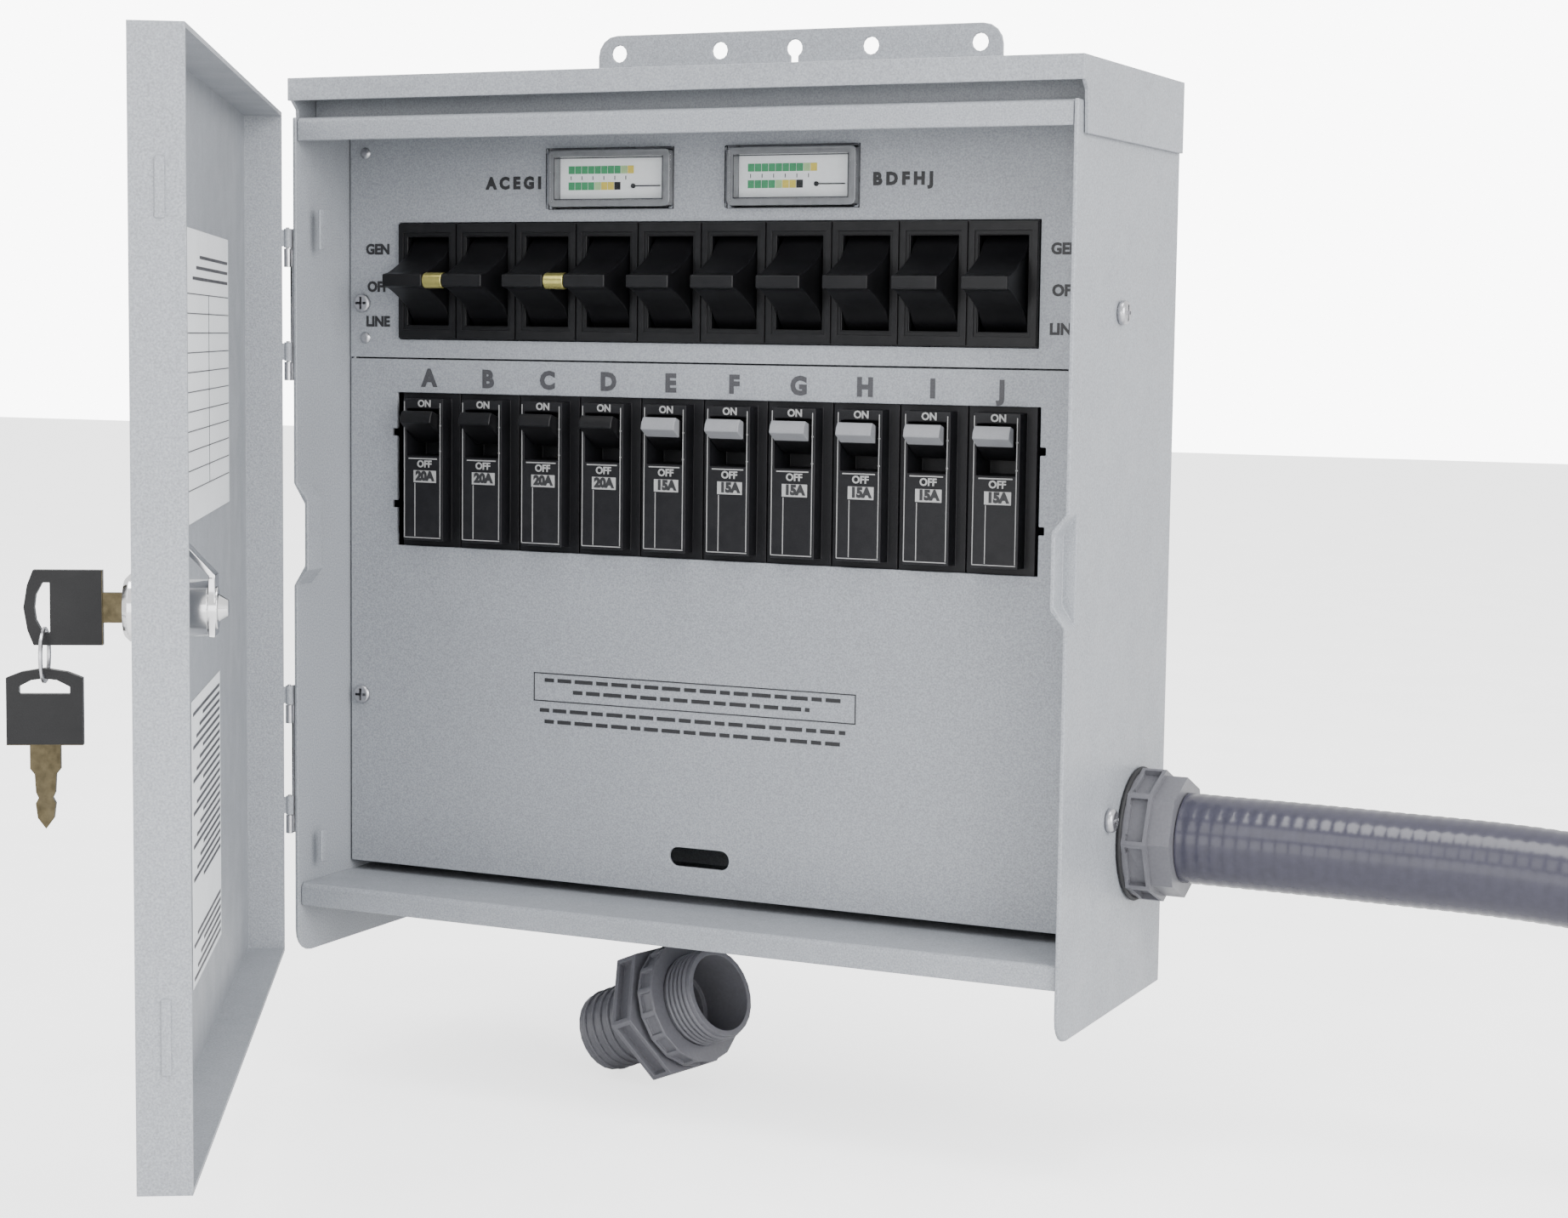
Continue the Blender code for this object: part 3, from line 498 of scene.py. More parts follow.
def finish_look(name, colour, roughness, metallic, scale, contrast, bump, worn, coat=0.0):
    """A Principled material with grain and worn edges."""
    groups = bpy.data.node_groups
    grain_group = groups.get("surface_grain") or make_grain()
    wear_group = groups.get("edge_wear") or make_wear()
    look = bpy.data.materials.new(name)
    look.use_nodes = True
    tree = look.node_tree
    shader = tree.nodes["Principled BSDF"]
    grain = tree.nodes.new("ShaderNodeGroup")
    grain.node_tree = grain_group
    grain.inputs["Colour"].default_value = (*colour, 1.0)
    grain.inputs["Scale"].default_value = scale
    grain.inputs["Contrast"].default_value = contrast
    grain.inputs["Roughness"].default_value = roughness
    wear = tree.nodes.new("ShaderNodeGroup")
    wear.node_tree = wear_group
    wear.inputs["Worn"].default_value = (*[min(1.0, c * 1.5 + 0.03) for c in colour], 1.0)
    wear.inputs["Amount"].default_value = worn
    tree.links.new(grain.outputs["Colour"], wear.inputs["Colour"])
    tree.links.new(wear.outputs["Colour"], shader.inputs["Base Color"])
    tree.links.new(grain.outputs["Roughness"], shader.inputs["Roughness"])
    lift = tree.nodes.new("ShaderNodeBump")
    lift.inputs["Strength"].default_value = bump
    lift.inputs["Distance"].default_value = 0.0002
    tree.links.new(grain.outputs["Height"], lift.inputs["Height"])
    tree.links.new(lift.outputs["Normal"], shader.inputs["Normal"])
    shader.inputs["Metallic"].default_value = metallic
    shader.inputs["Coat Weight"].default_value = coat
    return look


def clear_look():
    """Clear moulded cover of the meters."""
    look = finish_look("clear_cover", (0.96, 0.97, 0.98), 0.06, 0.0, 300.0, 0.01, 0.02, 0.0)
    shader = look.node_tree.nodes["Principled BSDF"]
    shader.inputs["Transmission Weight"].default_value = 1.0
    shader.inputs["IOR"].default_value = 1.12
    return look


# short name: material, colour or the property that holds it, then roughness, metallic,
# grain scale, contrast, bump, wear and, where there is one, coat
FINISHES = {
    "paint": ("enclosure_paint", "paint", 0.42, 0.0, 1700.0, 0.22, 0.45, 0.10),
    "black": ("switch_plastic", "black", 0.38, 0.0, 2600.0, 0.12, 0.12, 0.12),
    "charcoal": ("breaker_plastic", "charcoal", 0.45, 0.0, 2200.0, 0.2, 0.2, 0.2),
    "toggle": ("toggle_plastic", "toggle", 0.45, 0.0, 2200.0, 0.06, 0.1, 0.2),
    "brass": ("brass", "brass", 0.24, 1.0, 500.0, 0.08, 0.05, 0.1),
    "zinc": ("zinc_plate", "zinc", 0.3, 1.0, 700.0, 0.1, 0.08, 0.1),
    "chrome": ("chrome", "chrome", 0.14, 1.0, 300.0, 0.03, 0.02, 0.0),
    "nylon": ("nylon", "nylon", 0.36, 0.0, 900.0, 0.07, 0.1, 0.25),
    "jacket": ("conduit_jacket", "jacket", 0.2, 0.0, 260.0, 0.10, 0.10, 0.1),
    "paper": ("paper", "paper", 0.6, 0.0, 900.0, 0.03, 0.06, 0.0),
    "white": ("white_print", (0.34, 0.34, 0.34), 0.5, 0.0, 3000.0, 0.1, 0.0, 0.0),
    "ink": ("black_print", (0.018, 0.018, 0.02), 0.55, 0.0, 3000.0, 0.2, 0.0, 0.0),
    "dial": ("dial_face", (0.94, 0.95, 0.95), 0.35, 0.0, 900.0, 0.02, 0.0, 0.0),
    "green": ("green_band", (0.06, 0.33, 0.14), 0.4, 0.0, 900.0, 0.06, 0.0, 0.0),
    "pale_green": ("pale_band", (0.42, 0.62, 0.30), 0.4, 0.0, 900.0, 0.06, 0.0, 0.0),
    "yellow": ("yellow_band", (0.75, 0.60, 0.10), 0.4, 0.0, 900.0, 0.06, 0.0, 0.0),
    "red_wire": ("red_insulation", (0.45, 0.03, 0.02), 0.4, 0.0, 900.0, 0.05, 0.05, 0.0),
    "green_wire": ("green_insulation", (0.03, 0.26, 0.07), 0.4, 0.0, 900.0, 0.05, 0.05, 0.0),
    "key_metal": ("key_metal", (0.075, 0.062, 0.036), 0.34, 1.0, 420.0, 0.3, 0.3, 0.4),
    # rubber seal ring, partly painted shade in the fitting's joint
    "void": ("shadow_slot", (0.012, 0.012, 0.014), 0.7, 0.0, 900.0, 0.1, 0.1, 0.0),
    "grey_ink": ("grey_print", (0.055, 0.055, 0.062), 0.5, 0.0, 2600.0, 0.3, 0.0, 0.0),
    # painted shade: dark grey for the shade and dark edges seen through the clear meter case
    "smoke": ("smoke_case", (0.20, 0.205, 0.215), 0.10, 0.0, 300.0, 0.1, 0.03, 0.2, 0.6),
    # painted shade: dark lines at the edges of the clear meter covers
    "smoke_line": ("smoke_line", (0.05, 0.05, 0.055), 0.3, 0.0, 900.0, 0.1, 0.0, 0.0),
}


def make_looks():
    """Every material, by its short name."""
    colours = bpy.context.scene.switch_colours
    for key, (name, colour, *values) in FINISHES.items():
        if isinstance(colour, str):
            colour = tuple(getattr(colours, colour))
        LOOKS[key] = finish_look(name, colour, *values)
    LOOKS["clear"] = clear_look()
    for name in ("black", "charcoal"):
        shader = LOOKS[name].node_tree.nodes["Principled BSDF"]
        shader.inputs["Specular IOR Level"].default_value = DULL_SPECULAR


# ------------------------------------------------------------------------ stage
class SWITCH_OT_stage(bpy.types.Operator):
    """Make the camera, the lights and the floor"""
    bl_idname = "switch.stage"
    bl_label = "Stage"

    def execute(self, context):
        make_looks()
        data = bpy.data.cameras.new("camera")
        data.lens = CAMERA_LENS
        data.sensor_width = 36.0
        camera = bpy.data.objects.new("camera", data)
        context.scene.collection.objects.link(camera)
        back = CAMERA_RIGHT.cross(CAMERA_ABOVE)
        turn = Matrix((CAMERA_RIGHT, CAMERA_ABOVE, back)).transposed().to_4x4()
        camera.matrix_world = Matrix.Translation(CAMERA_AT) @ turn
        context.scene.camera = camera
        self.lamps(context)
        deselect()
        bpy.ops.mesh.primitive_plane_add(size=12.0, location=(0, 0, GROUND - 0.0002))
        floor = context.object
        floor.name = "floor"
        floor.data.materials.append(self.floor_look())
        return {"FINISHED"}

    def floor_look(self):
        """Pale floor, a little brighter where the camera sees it."""
        look = finish_look("floor", (0.88, 0.88, 0.88), 0.8, 0.0, 40.0, 0.01, 0.0, 0.0)
        tree = look.node_tree
        rays = tree.nodes.new("ShaderNodeLightPath")
        glow = tree.nodes.new("ShaderNodeMath")
        glow.operation = "MULTIPLY"
        glow.inputs[1].default_value = FLOOR_GLOW
        tree.links.new(rays.outputs["Is Camera Ray"], glow.inputs[0])
        shader = tree.nodes["Principled BSDF"]
        shader.inputs["Emission Color"].default_value = (1, 1, 1, 1)
        tree.links.new(glow.outputs[0], shader.inputs["Emission Strength"])
        return look

    def lamps(self, context):
        """Soft panels and an even white surround."""
        for name, place, size, power in LAMPS:
            data = bpy.data.lights.new(name, "AREA")
            data.size = size
            data.energy = power
            lamp = bpy.data.objects.new(name, data)
            lamp.location = place
            lamp.rotation_mode = "QUATERNION"
            aim = Vector((0, -0.05, 0)) - Vector(place)
            lamp.rotation_quaternion = aim.to_track_quat("-Z", "Y")
            context.scene.collection.objects.link(lamp)
        world = bpy.data.worlds.new("surround")
        world.use_nodes = True
        plain = world.node_tree.nodes["Background"]
        plain.inputs["Color"].default_value = (1, 1, 1, 1)
        plain.inputs["Strength"].default_value = SURROUND_LIGHT
        self.bright_backdrop(world.node_tree)
        context.scene.world = world

    def bright_backdrop(self, tree):
        """A whiter surround where the camera sees it, without more light on the switch."""
        plain = tree.nodes["Background"]
        bright = tree.nodes.new("ShaderNodeBackground")
        bright.inputs["Color"].default_value = (1, 1, 1, 1)
        bright.inputs["Strength"].default_value = BACKDROP_LIGHT
        rays = tree.nodes.new("ShaderNodeLightPath")
        mix = tree.nodes.new("ShaderNodeMixShader")
        tree.links.new(rays.outputs["Is Camera Ray"], mix.inputs[0])
        tree.links.new(plain.outputs[0], mix.inputs[1])
        tree.links.new(bright.outputs[0], mix.inputs[2])
        tree.links.new(mix.outputs[0], tree.nodes["World Output"].inputs["Surface"])


# ---------------------------------------------------------------------- conduit
def smooth_route(points, spacing):
    """Points along a Catmull-Rom curve through a route."""
    guide = [Vector(p) for p in points]
    guide = [2 * guide[0] - guide[1]] + guide + [2 * guide[-1] - guide[-2]]
    route = []
    for n in range(1, len(guide) - 2):
        a, b, c, d = guide[n - 1:n + 3]
        steps = max(1, round((c - b).length / spacing))
        for step in range(steps):
            t = step / steps
            route.append(0.5 * (2 * b + (c - a) * t + (2 * a - 5 * b + 4 * c - d) * t * t
                                + (3 * b - a - 3 * c + d) * t ** 3))
    return route + [guide[-2]]


def tube(name, points, radius, radii=None, sides=6):
    """A round tube through points, with a radius factor for each point."""
    deselect()
    curve = bpy.data.curves.new(name, "CURVE")
    curve.dimensions = "3D"
    curve.bevel_depth = radius
    curve.bevel_resolution = sides
    curve.use_fill_caps = True
    spline = curve.splines.new("POLY")
    spline.points.add(len(points) - 1)
    for n, (point, place) in enumerate(zip(spline.points, points)):
        point.co = (*place, 1.0)
        point.radius = radii[n] if radii else 1.0
    obj = bpy.data.objects.new(name, curve)
    bpy.context.scene.collection.objects.link(obj)
    only(obj)
    bpy.ops.object.convert(target="MESH")
    obj = bpy.context.object
    bpy.ops.object.mode_set(mode="EDIT")
    bpy.ops.mesh.select_all(action="SELECT")
    bpy.ops.mesh.remove_doubles(threshold=0.00001)
    bpy.ops.mesh.normals_make_consistent(inside=False)
    bpy.ops.object.mode_set(mode="OBJECT")
    bpy.ops.object.shade_smooth_by_angle(angle=radians(50))
    return obj


class SWITCH_OT_conduit(bpy.types.Operator):
    """Make the flexible conduit and the wires at its end"""
    bl_idname = "switch.conduit"
    bl_label = "Conduit"

    def execute(self, context):
        width = context.scene.switch_sizes.conduit_width
        place = [(x, y, up(h)) for x, y, h in CONDUIT_ROUTE]
        route = smooth_route(place, RIB_PITCH / RIB_STEPS)
        wave = (1.0, 0.998, 0.988, 0.998)
        radii = [wave[n % RIB_STEPS] for n in range(len(route))]
        body = tube("conduit_finish", route, width / 2, radii, 10)
        wires = self.wires(route)
        piece(body, "enclosure", LOOKS["jacket"], "conduit_jacket", "conduit")
        return {"FINISHED"}

    def wires(self, route):
        """Four insulated wires that stand out of the cut end."""
        end = route[-1]
        along = (route[-1] - route[-4]).normalized()
        colours = ("black", "red_wire", "white", "green_wire")
        wires = []
        for n, look in enumerate(colours):
            angle = pi / 4 + n * pi / 2
            side = Vector((0, cos(angle), sin(angle))) * 0.0055
            points = [end + side - along * 0.002]
            for step in range(1, 7):
                t = step / 6
                bow = side * (1.0 + 0.9 * t * t)
                points.append(end + bow + along * (0.018 * t) - Vector((0, 0, 0.002 * t * t)))
            wire = tube("wire_" + look, points, 0.0022, None, 4)
            wires.append(piece(wire, "enclosure", LOOKS[look], "copper_wire"))
        return wires


# -------------------------------------------------------------------- enclosure
def screw(name, head, x, y, z, depth=0.0018):
    """Pan-head screw with a cross recess, facing the front."""
    body = rod(name, head, (x, y, z), (x, y - depth, z), 32, head * 0.9)
    bevelled(body, head * 0.28, 4, 25)
    arm = head * 0.62
    half = head * 0.13
    for wide, tall in ((arm, half), (half, arm)):
        cutter = block("recess", (x - wide, y - depth - 0.001, z - tall),
                       (x + wide, y - depth + 0.0011, z + tall))
        carved(body, cutter)
    return bevelled(body, head * 0.03, 1, 40)


def rivet(name, x, y, z):
    """Domed rivet head facing the front."""
    body = rod(name, RIVET_HEAD, (x, y, z), (x, y - RIVET_HEAD * 0.45, z), 24,
               RIVET_HEAD * 0.55)
    return bevelled(body, RIVET_HEAD * 0.2, 3, 20)


class SWITCH_OT_enclosure(bpy.types.Operator):
    """Finish the sheets of the box, its chassis and its side screws"""
    bl_idname = "switch.enclosure"
    bl_label = "Enclosure"

    def execute(self, context):
        edge = context.scene.switch_sizes.sheet_round
        for node in ("back_panel", "left_side_panel", "right_side_panel", "bottom_ledge",
                     "top_plate", "hood"):
            refined(node, LOOKS["paint"], "grey_enclosure_paint", edge, 3)
        refined("inner_chassis", LOOKS["zinc"], "zinc_plate", edge, 2)
        refined("neutral_bar", LOOKS["brass"], "brass", edge, 2)
        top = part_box("top_plate")[1].z
        web = block("hood_channel", (-0.1515, CHANNEL[0], top + 0.0003),
                    (0.1515, CHANNEL[1], top + 0.0118))
        piece(bevelled(web, edge, 2), "enclosure", LOOKS["paint"], "grey_enclosure_paint")
        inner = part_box("left_side_panel")[1].x
        for n, (low, high) in enumerate(((0.263, 0.278), (0.034, 0.046))):
            rib = block("side_rib_%d" % n, (inner - 0.0003, -0.1035, up(low)),
                        (inner + 0.0007, -0.1005, up(high)))
            piece(bevelled(rib, 0.0006, 4), "enclosure", LOOKS["paint"], "grey_enclosure_paint")
        head = context.scene.switch_sizes.screw_head
        turn = Matrix.Rotation(pi / 2, 4, "Z")
        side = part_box("right_side_panel")[1].x
        for n, height in enumerate((0.243, 0.069)):
            part = screw("side_screw_%d" % n, head * 1.2, 0, 0, 0, 0.0030)
            placed(part, Matrix.Translation((side, -0.0633, up(height))) @ turn)
            piece(part, "enclosure", LOOKS["zinc"], "zinc_plate")
        return {"FINISHED"}


class SWITCH_OT_dead_front(bpy.types.Operator):
    """Finish the two front sheets with their screws and printed legends"""
    bl_idname = "switch.dead_front"
    bl_label = "Dead front"

    def execute(self, context):
        sizes = context.scene.switch_sizes
        for node in ("switch_panel", "lower_cover"):
            refined(node, LOOKS["paint"], "grey_enclosure_paint", sizes.sheet_round, 2)
        for name, x, height in (("upper_screw", -0.1437, 0.244), ("lower_screw", -0.144, 0.095)):
            part = screw(name, sizes.screw_head, x, PANEL, up(height))
            piece(part, "enclosure", LOOKS["zinc"], "zinc_plate")
        for name, x, height in (("top_rivet", -0.1425, 0.300), ("small_rivet", -0.1426, 0.231)):
            part = rivet(name, x, PANEL, up(height))
            piece(part, "enclosure", LOOKS["zinc"], "zinc_plate")
        self.legends(sizes.letter)
        self.notice()
        return {"FINISHED"}

    def legends(self, size):
        """Circuit letters and the three positions of the switches."""
        y = PANEL - PRINT
        parts = [lettering("l", "A C E G I", size, -0.078, up(0.288), y, bold=0.06),
                 lettering("l", "B D F H J", size, 0.0765, up(0.288), y, bold=0.06)]
        for x in (-0.137, 0.1362):
            for text, height in (("GEN", 0.264), ("OFF", 0.250), ("LINE", 0.237)):
                parts.append(lettering("l", text, size * 0.9, x, up(height), y, bold=0.045))
        piece(joined("panel_legends", parts), "enclosure", LOOKS["ink"], "print_black")
        letters = [lettering("l", pole.upper(), size * 1.5, centre_x("breaker_" + pole),
                             up(0.2160), y, bold=0.055) for pole in POLES]
        piece(joined("circuit_letters", letters), "enclosure", LOOKS["grey_ink"], "print_black")

    def notice(self):
        """Outlined box with plain bars, where a printed notice goes."""
        y = PANEL - PRINT
        left, right, low, high, line = -0.0686, 0.0615, up(0.0975), up(0.1078), 0.0004
        parts = [strip("b", (left, right), (z, z + line), y) for z in (low, high)]
        parts += [strip("b", (x, x + line), (low, high + line), y) for x in (left, right)]
        bars = ((0.1048, -0.064, 0.057), (0.1008, -0.052, 0.044), (0.0935, -0.066, 0.058),
                (0.0893, -0.064, 0.056))
        for height, start, end in bars:
            x = start
            n = 0
            while x < end:
                width = 0.0040 + 0.0035 * ((n * 7) % 5) / 4
                parts.append(strip("b", (x, min(x + width, end)),
                                   (up(height), up(height + 0.0014)), y))
                x += width + 0.0015
                n += 1
        piece(joined("notice_bars", parts), "enclosure", LOOKS["ink"], "print_black")


# ------------------------------------------------------------ switches, breakers
class SWITCH_OT_switches(bpy.types.Operator):
    """Finish the switch housings, the handles and their brass sleeves"""
    bl_idname = "switch.switches"
    bl_label = "Switches"

    def execute(self, context):
        edge = context.scene.switch_sizes.plastic_round
        refined("switch_bank", LOOKS["black"], "black_plastic", 0.00025, 2)
        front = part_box("switch_bank")[0].y
        middle = (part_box("switch_bank")[0].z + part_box("switch_bank")[1].z) / 2
        frame_ring = self.ring(front, middle)
        first = centre_x("breaker_a")
        for pole in POLES:
            shift = Matrix.Translation((centre_x("breaker_" + pole) - first, 0, 0))
            ring = copied(frame_ring, "switch_frame_" + pole, shift)
            piece(ring, "enclosure", LOOKS["black"], "black_plastic")
            refined("switch_handle_" + pole, LOOKS["black"], "black_plastic", edge, 3, 28)
        bpy.data.objects.remove(frame_ring, do_unlink=True)
        for pair in ("ab", "cd"):
            refined("handle_tie_" + pair, LOOKS["brass"], "brass", 0.0003, 2)
        return {"FINISHED"}

    def ring(self, front, middle):
        """Raised, stepped frame round one handle's opening."""
        x = centre_x("breaker_a")
        low = (x - 0.0124, front - 0.0009, middle - 0.0211)
        high = (x + 0.0124, front + 0.0002, middle + 0.0211)
        ring = block("frame", low, high)
        opening = block("opening", (x - 0.0092, front - 0.01, middle - 0.0167),
                        (x + 0.0092, front + 0.01, middle + 0.0167))
        ring = carved(ring, opening)
        step = block("step", (x - 0.0103, front - 0.01, middle - 0.0180),
                     (x + 0.0103, front - 0.0004, middle + 0.0180))
        ring = carved(ring, step)
        return bevelled(ring, 0.0002, 2)


class SWITCH_OT_breakers(bpy.types.Operator):
    """Finish the breakers with their printed lines, ratings and toggles"""
    bl_idname = "switch.breakers"
    bl_label = "Breakers"

    def execute(self, context):
        for n, pole in enumerate(POLES):
            refined("breaker_" + pole, LOOKS["charcoal"], "charcoal_plastic", 0.00035, 2)
            toggle = "breaker_toggle_" + pole
            if n < 4:
                refined(toggle, LOOKS["black"], "black_plastic", 0.0005, 3, 28)
            else:
                # Toggles E to J are grey plastic: the front 4.8 mm keeps its grey, and the rest is
                # painted black as painted shade under the lit tip.
                front = Vector((0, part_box(toggle)[0].y + 0.0048, 0))
                split(toggle, front, (0, -1, 0), ("tip", "toggle", "grey_plastic", 0.0004),
                      ("root", "black", "grey_plastic", 0.0003))
            self.prints(pole, "20A" if n < 4 else "15A")
        return {"FINISHED"}

    def prints(self, pole, rating):
        """White lines, ON and OFF, and the rating in its box."""
        x = centre_x("breaker_" + pole)
        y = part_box("breaker_" + pole)[0].y - PRINT
        lines = ((-0.0082, 0.1565, 0.2075), (-0.0036, 0.1570, 0.1770), (0.0074, 0.1570, 0.2070))
        parts = [strip("b", (x + a, x + a + 0.0003), (up(low), up(high)), y)
                 for a, low, high in lines]
        parts.append(strip("b", (x - 0.0080, x + 0.0078), (up(0.1564), up(0.1567)), y))
        parts.append(strip("b", (x - 0.0062, x + 0.0062), (up(0.1860), up(0.1864)), y))
        for height in (0.1890, 0.1985):
            parts.append(strip("b", (x + 0.0072, x + 0.0080), (up(height), up(height + 0.0004)), y))
        parts.append(lettering("l", "ON", 0.0036, x + 0.0007, up(0.2067), y))
        parts.append(lettering("l", "OFF", 0.0036, x + 0.0007, up(0.1841), y))
        parts.append(strip("b", (x - 0.0040, x + 0.0058), (up(0.1773), up(0.1818)), y))
        piece(joined("breaker_print_" + pole, parts), "enclosure", LOOKS["white"], "print_white")
        text = lettering("breaker_rating_" + pole, rating, 0.0046, x + 0.0009, up(0.1796),
                         y - PRINT, bold=0.07)
        piece(text, "enclosure", LOOKS["ink"], "print_black")


# ----------------------------------------------------------------------- meters
class SWITCH_OT_meters(bpy.types.Operator):
    """Finish the meters: case, clear cover, dial bands and needle"""
    bl_idname = "switch.meters"
    bl_label = "Meters"

    def execute(self, context):
        for side in ("left", "right"):
            # The case is painted dark grey as painted shade: it stands for the shade and dark edges
            # seen through a clear case.
            refined("meter_" + side, LOOKS["smoke"], "white_plastic", 0.0003, 2)
            refined("meter_needle_" + side, LOOKS["ink"], "black_plastic", 0.00005, 1)
            low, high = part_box("meter_" + side)
            self.bands(side, low, high)
            self.cover(side, low, high)
        return {"FINISHED"}

    def bands(self, side, low, high):
        """Two rows of coloured blocks and a small scale on the dial."""
        x = low.x
        z = low.z
        floor = low.y + 0.0040
        plate = block("dial_plate_" + side, (x + 0.0031, floor - 0.0002, z + 0.0026),
                      (high.x - 0.0031, floor - 0.00005, high.z - 0.0026))
        piece(bevelled(plate, 0.00003, 1), "enclosure", LOOKS["dial"], "white_plastic")
        y = floor - 0.0003
        rows = ((0.0120, 0.0148, ("green",) * 8 + ("pale_green",) + ("yellow",)),
                (0.0062, 0.0090, ("green",) * 4 + ("pale_green",) + ("yellow",) * 2 + ("ink",)))
        groups = {}
        for bottom, top, looks in rows:
            for n, look in enumerate(looks):
                start = x + 0.0066 + 0.0027 * n
                groups.setdefault(look, []).append(
                    strip("b", (start, start + 0.0025), (z + bottom, z + top), y))
        for n in range(6):
            start = x + 0.0075 + 0.0045 * n
            groups.setdefault("ink", []).append(
                strip("b", (start, start + 0.0003), (z + 0.0098, z + 0.0112), y))
        for look, parts in groups.items():
            obj = joined("dial_%s_%s" % (look, side), parts)
            piece(obj, "enclosure", LOOKS[look], "white_plastic")

    def cover(self, side, low, high):
        """Thin clear cover over the case, with a raised rim."""
        rim = block("meter_rim_" + side, (low.x - 0.0008, low.y - 0.0006, low.z - 0.0008),
                    (high.x + 0.0008, low.y + 0.0018, high.z + 0.0008))
        inner = block("inner", (low.x + 0.0016, low.y - 0.01, low.z + 0.0014),
                      (high.x - 0.0016, low.y + 0.01, high.z - 0.0014))
        rim = bevelled(carved(rim, inner), 0.0006, 3)
        piece(rim, "enclosure", LOOKS["clear"], "clear_plastic")
        self.outline(side, low, high)
        pane = block("meter_cover_" + side, (low.x + 0.0017, low.y - 0.0004, low.z + 0.0015),
                     (high.x - 0.0017, low.y + 0.0003, high.z - 0.0015))
        piece(bevelled(pane, 0.0002, 2), "enclosure", LOOKS["clear"], "clear_plastic")

    def outline(self, side, low, high):
        """Dark lines where the cover meets the panel and the dial: painted shade at the clear
        cover's edges.
        """
        parts = []
        for out, thick, y in ((0.0009, 0.0006, PANEL - PRINT), (-0.0025, 0.0004, low.y - PRINT)):
            left, right, foot, top = low.x - out, high.x + out, low.z - out, high.z + out
            parts += [strip("b", (left, right), (z, z + thick), y)
                      for z in (foot, top - thick * 1.6)]
            parts += [strip("b", (x, x + thick), (foot, top), y) for x in (left, right - thick)]
        piece(joined("meter_outline_" + side, parts), "enclosure", LOOKS["smoke_line"],
              "black_plastic")


# ---------------------------------------------------------------- door and lock
class SWITCH_OT_door(bpy.types.Operator):
    """Finish the door, its hinges, its labels and its lock"""
    bl_idname = "switch.door"
    bl_label = "Door"

    def execute(self, context):
        edge = context.scene.switch_sizes.sheet_round
        refined("door_panel", LOOKS["paint"], "grey_enclosure_paint", edge, 3)
        for node in ("hinge_lower", "hinge_upper"):
            refined(node, LOOKS["zinc"], "zinc_plate", 0.0002, 2)
        refined("lock_barrel", LOOKS["chrome"], "chrome", 0.0004, 3)
        refined("lock_plug", LOOKS["chrome"], "chrome", 0.0002, 2)
        inner = SHUT_FACE + SHEET
        outer = 0.1515
        for n, (low, high) in enumerate(((0.262, 0.278), (0.034, 0.055))):
            rib = block("door_rib_%d" % n, (outer - 0.0003, -0.1228, up(low)),
                        (outer + 0.0006, -0.1200, up(high)))
            placed(bevelled(rib, 0.0005, 4), door_place())
            piece(rib, "door", LOOKS["paint"], "grey_enclosure_paint")
        self.labels(inner)
        self.lock_nut(inner)
        return {"FINISHED"}

    def labels(self, inner):
        """Ruled circuit directory above and a lined sheet below, on the inside."""
        y = inner + 0.0002
        for name, x, h in (("directory", (-0.088, 0.065), (0.174, 0.264)),
                           ("lower_sheet", (-0.053, 0.030), (0.029, 0.119))):
            sheet = block("door_" + name, (x[0], y - 0.0001, up(h[0])),
                          (x[1], y + 0.0001, up(h[1])))
            placed(bevelled(sheet, 0.00004, 1), door_place())
            piece(sheet, "door", LOOKS["paper"], "paper_label")
        z = y + 0.0002
        parts = [strip("b", (-0.086, 0.062), (up(0.184 + 0.0060 * n), up(0.1843 + 0.0060 * n)), z)
                 for n in range(11)]
        parts += [strip("b", (x, x + 0.0003), (up(0.184), up(0.2440)), z)
                  for x in (-0.025, 0.0617)]
        parts += [strip("b", (-0.084, 0.02 - 0.01 * n),
                        (up(0.2485 + 0.0034 * n), up(0.2495 + 0.0034 * n)), z) for n in range(3)]
        for n in range(33):
            low = 0.031 + 0.0026 * n
            if not 0.046 < low < 0.058:
                parts.append(strip("b", (-0.050, 0.027 - 0.009 * (n % 4)),
                                   (up(low), up(low + 0.0011)), z))
        rules = joined("door_label_rules", parts)
        placed(rules, door_place())
        piece(rules, "door", LOOKS["grey_ink"], "print_black")

    def lock_nut(self, inner):
        """Hexagonal nut and washer that hold the lock on the inside."""
        z = up(LOCK_HEIGHT)
        for name, radius, start, depth, sides, look in (
                ("lock_washer", 0.0125, 0.0003, 0.0010, 40, "black"),
                ("lock_nut", 0.0112, 0.0014, 0.0030, 6, "zinc")):
            y = inner + start
            obj = rod(name, radius, (LOCK_X, y, z), (LOCK_X, y + depth, z), sides)
            carved(obj, rod("bore", 0.0081, (LOCK_X, y - 0.01, z), (LOCK_X, y + 0.02, z), 32))
            bevelled(obj, 0.0003, 2)
            placed(obj, door_place())
            piece(obj, "door", LOOKS[look], "zinc_plate")


class SWITCH_OT_keys(bpy.types.Operator):
    """Finish the keys, split into bow and blade, and their ring"""
    bl_idname = "switch.keys"
    bl_label = "Keys"

    def execute(self, context):
        parts = (("bow", "black", "key_plastic", 0.0006),
                 ("blade", "key_metal", "key_plastic", 0.0002))
        shoulder = Vector((0, 0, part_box("spare_key")[1].z - 0.0208))
        split("spare_key", shoulder, (0, 0, 1), *parts)
        outward = door_place().to_3x3() @ Vector((0, -1, 0))
        shoulder = door_place() @ Vector((LOCK_X, SHUT_FACE - 0.0106, up(LOCK_HEIGHT)))
        split("key", shoulder, outward, *parts)
        refined("key_ring", LOOKS["zinc"], "zinc_plate", 0.00005, 1, 60)
        return {"FINISHED"}


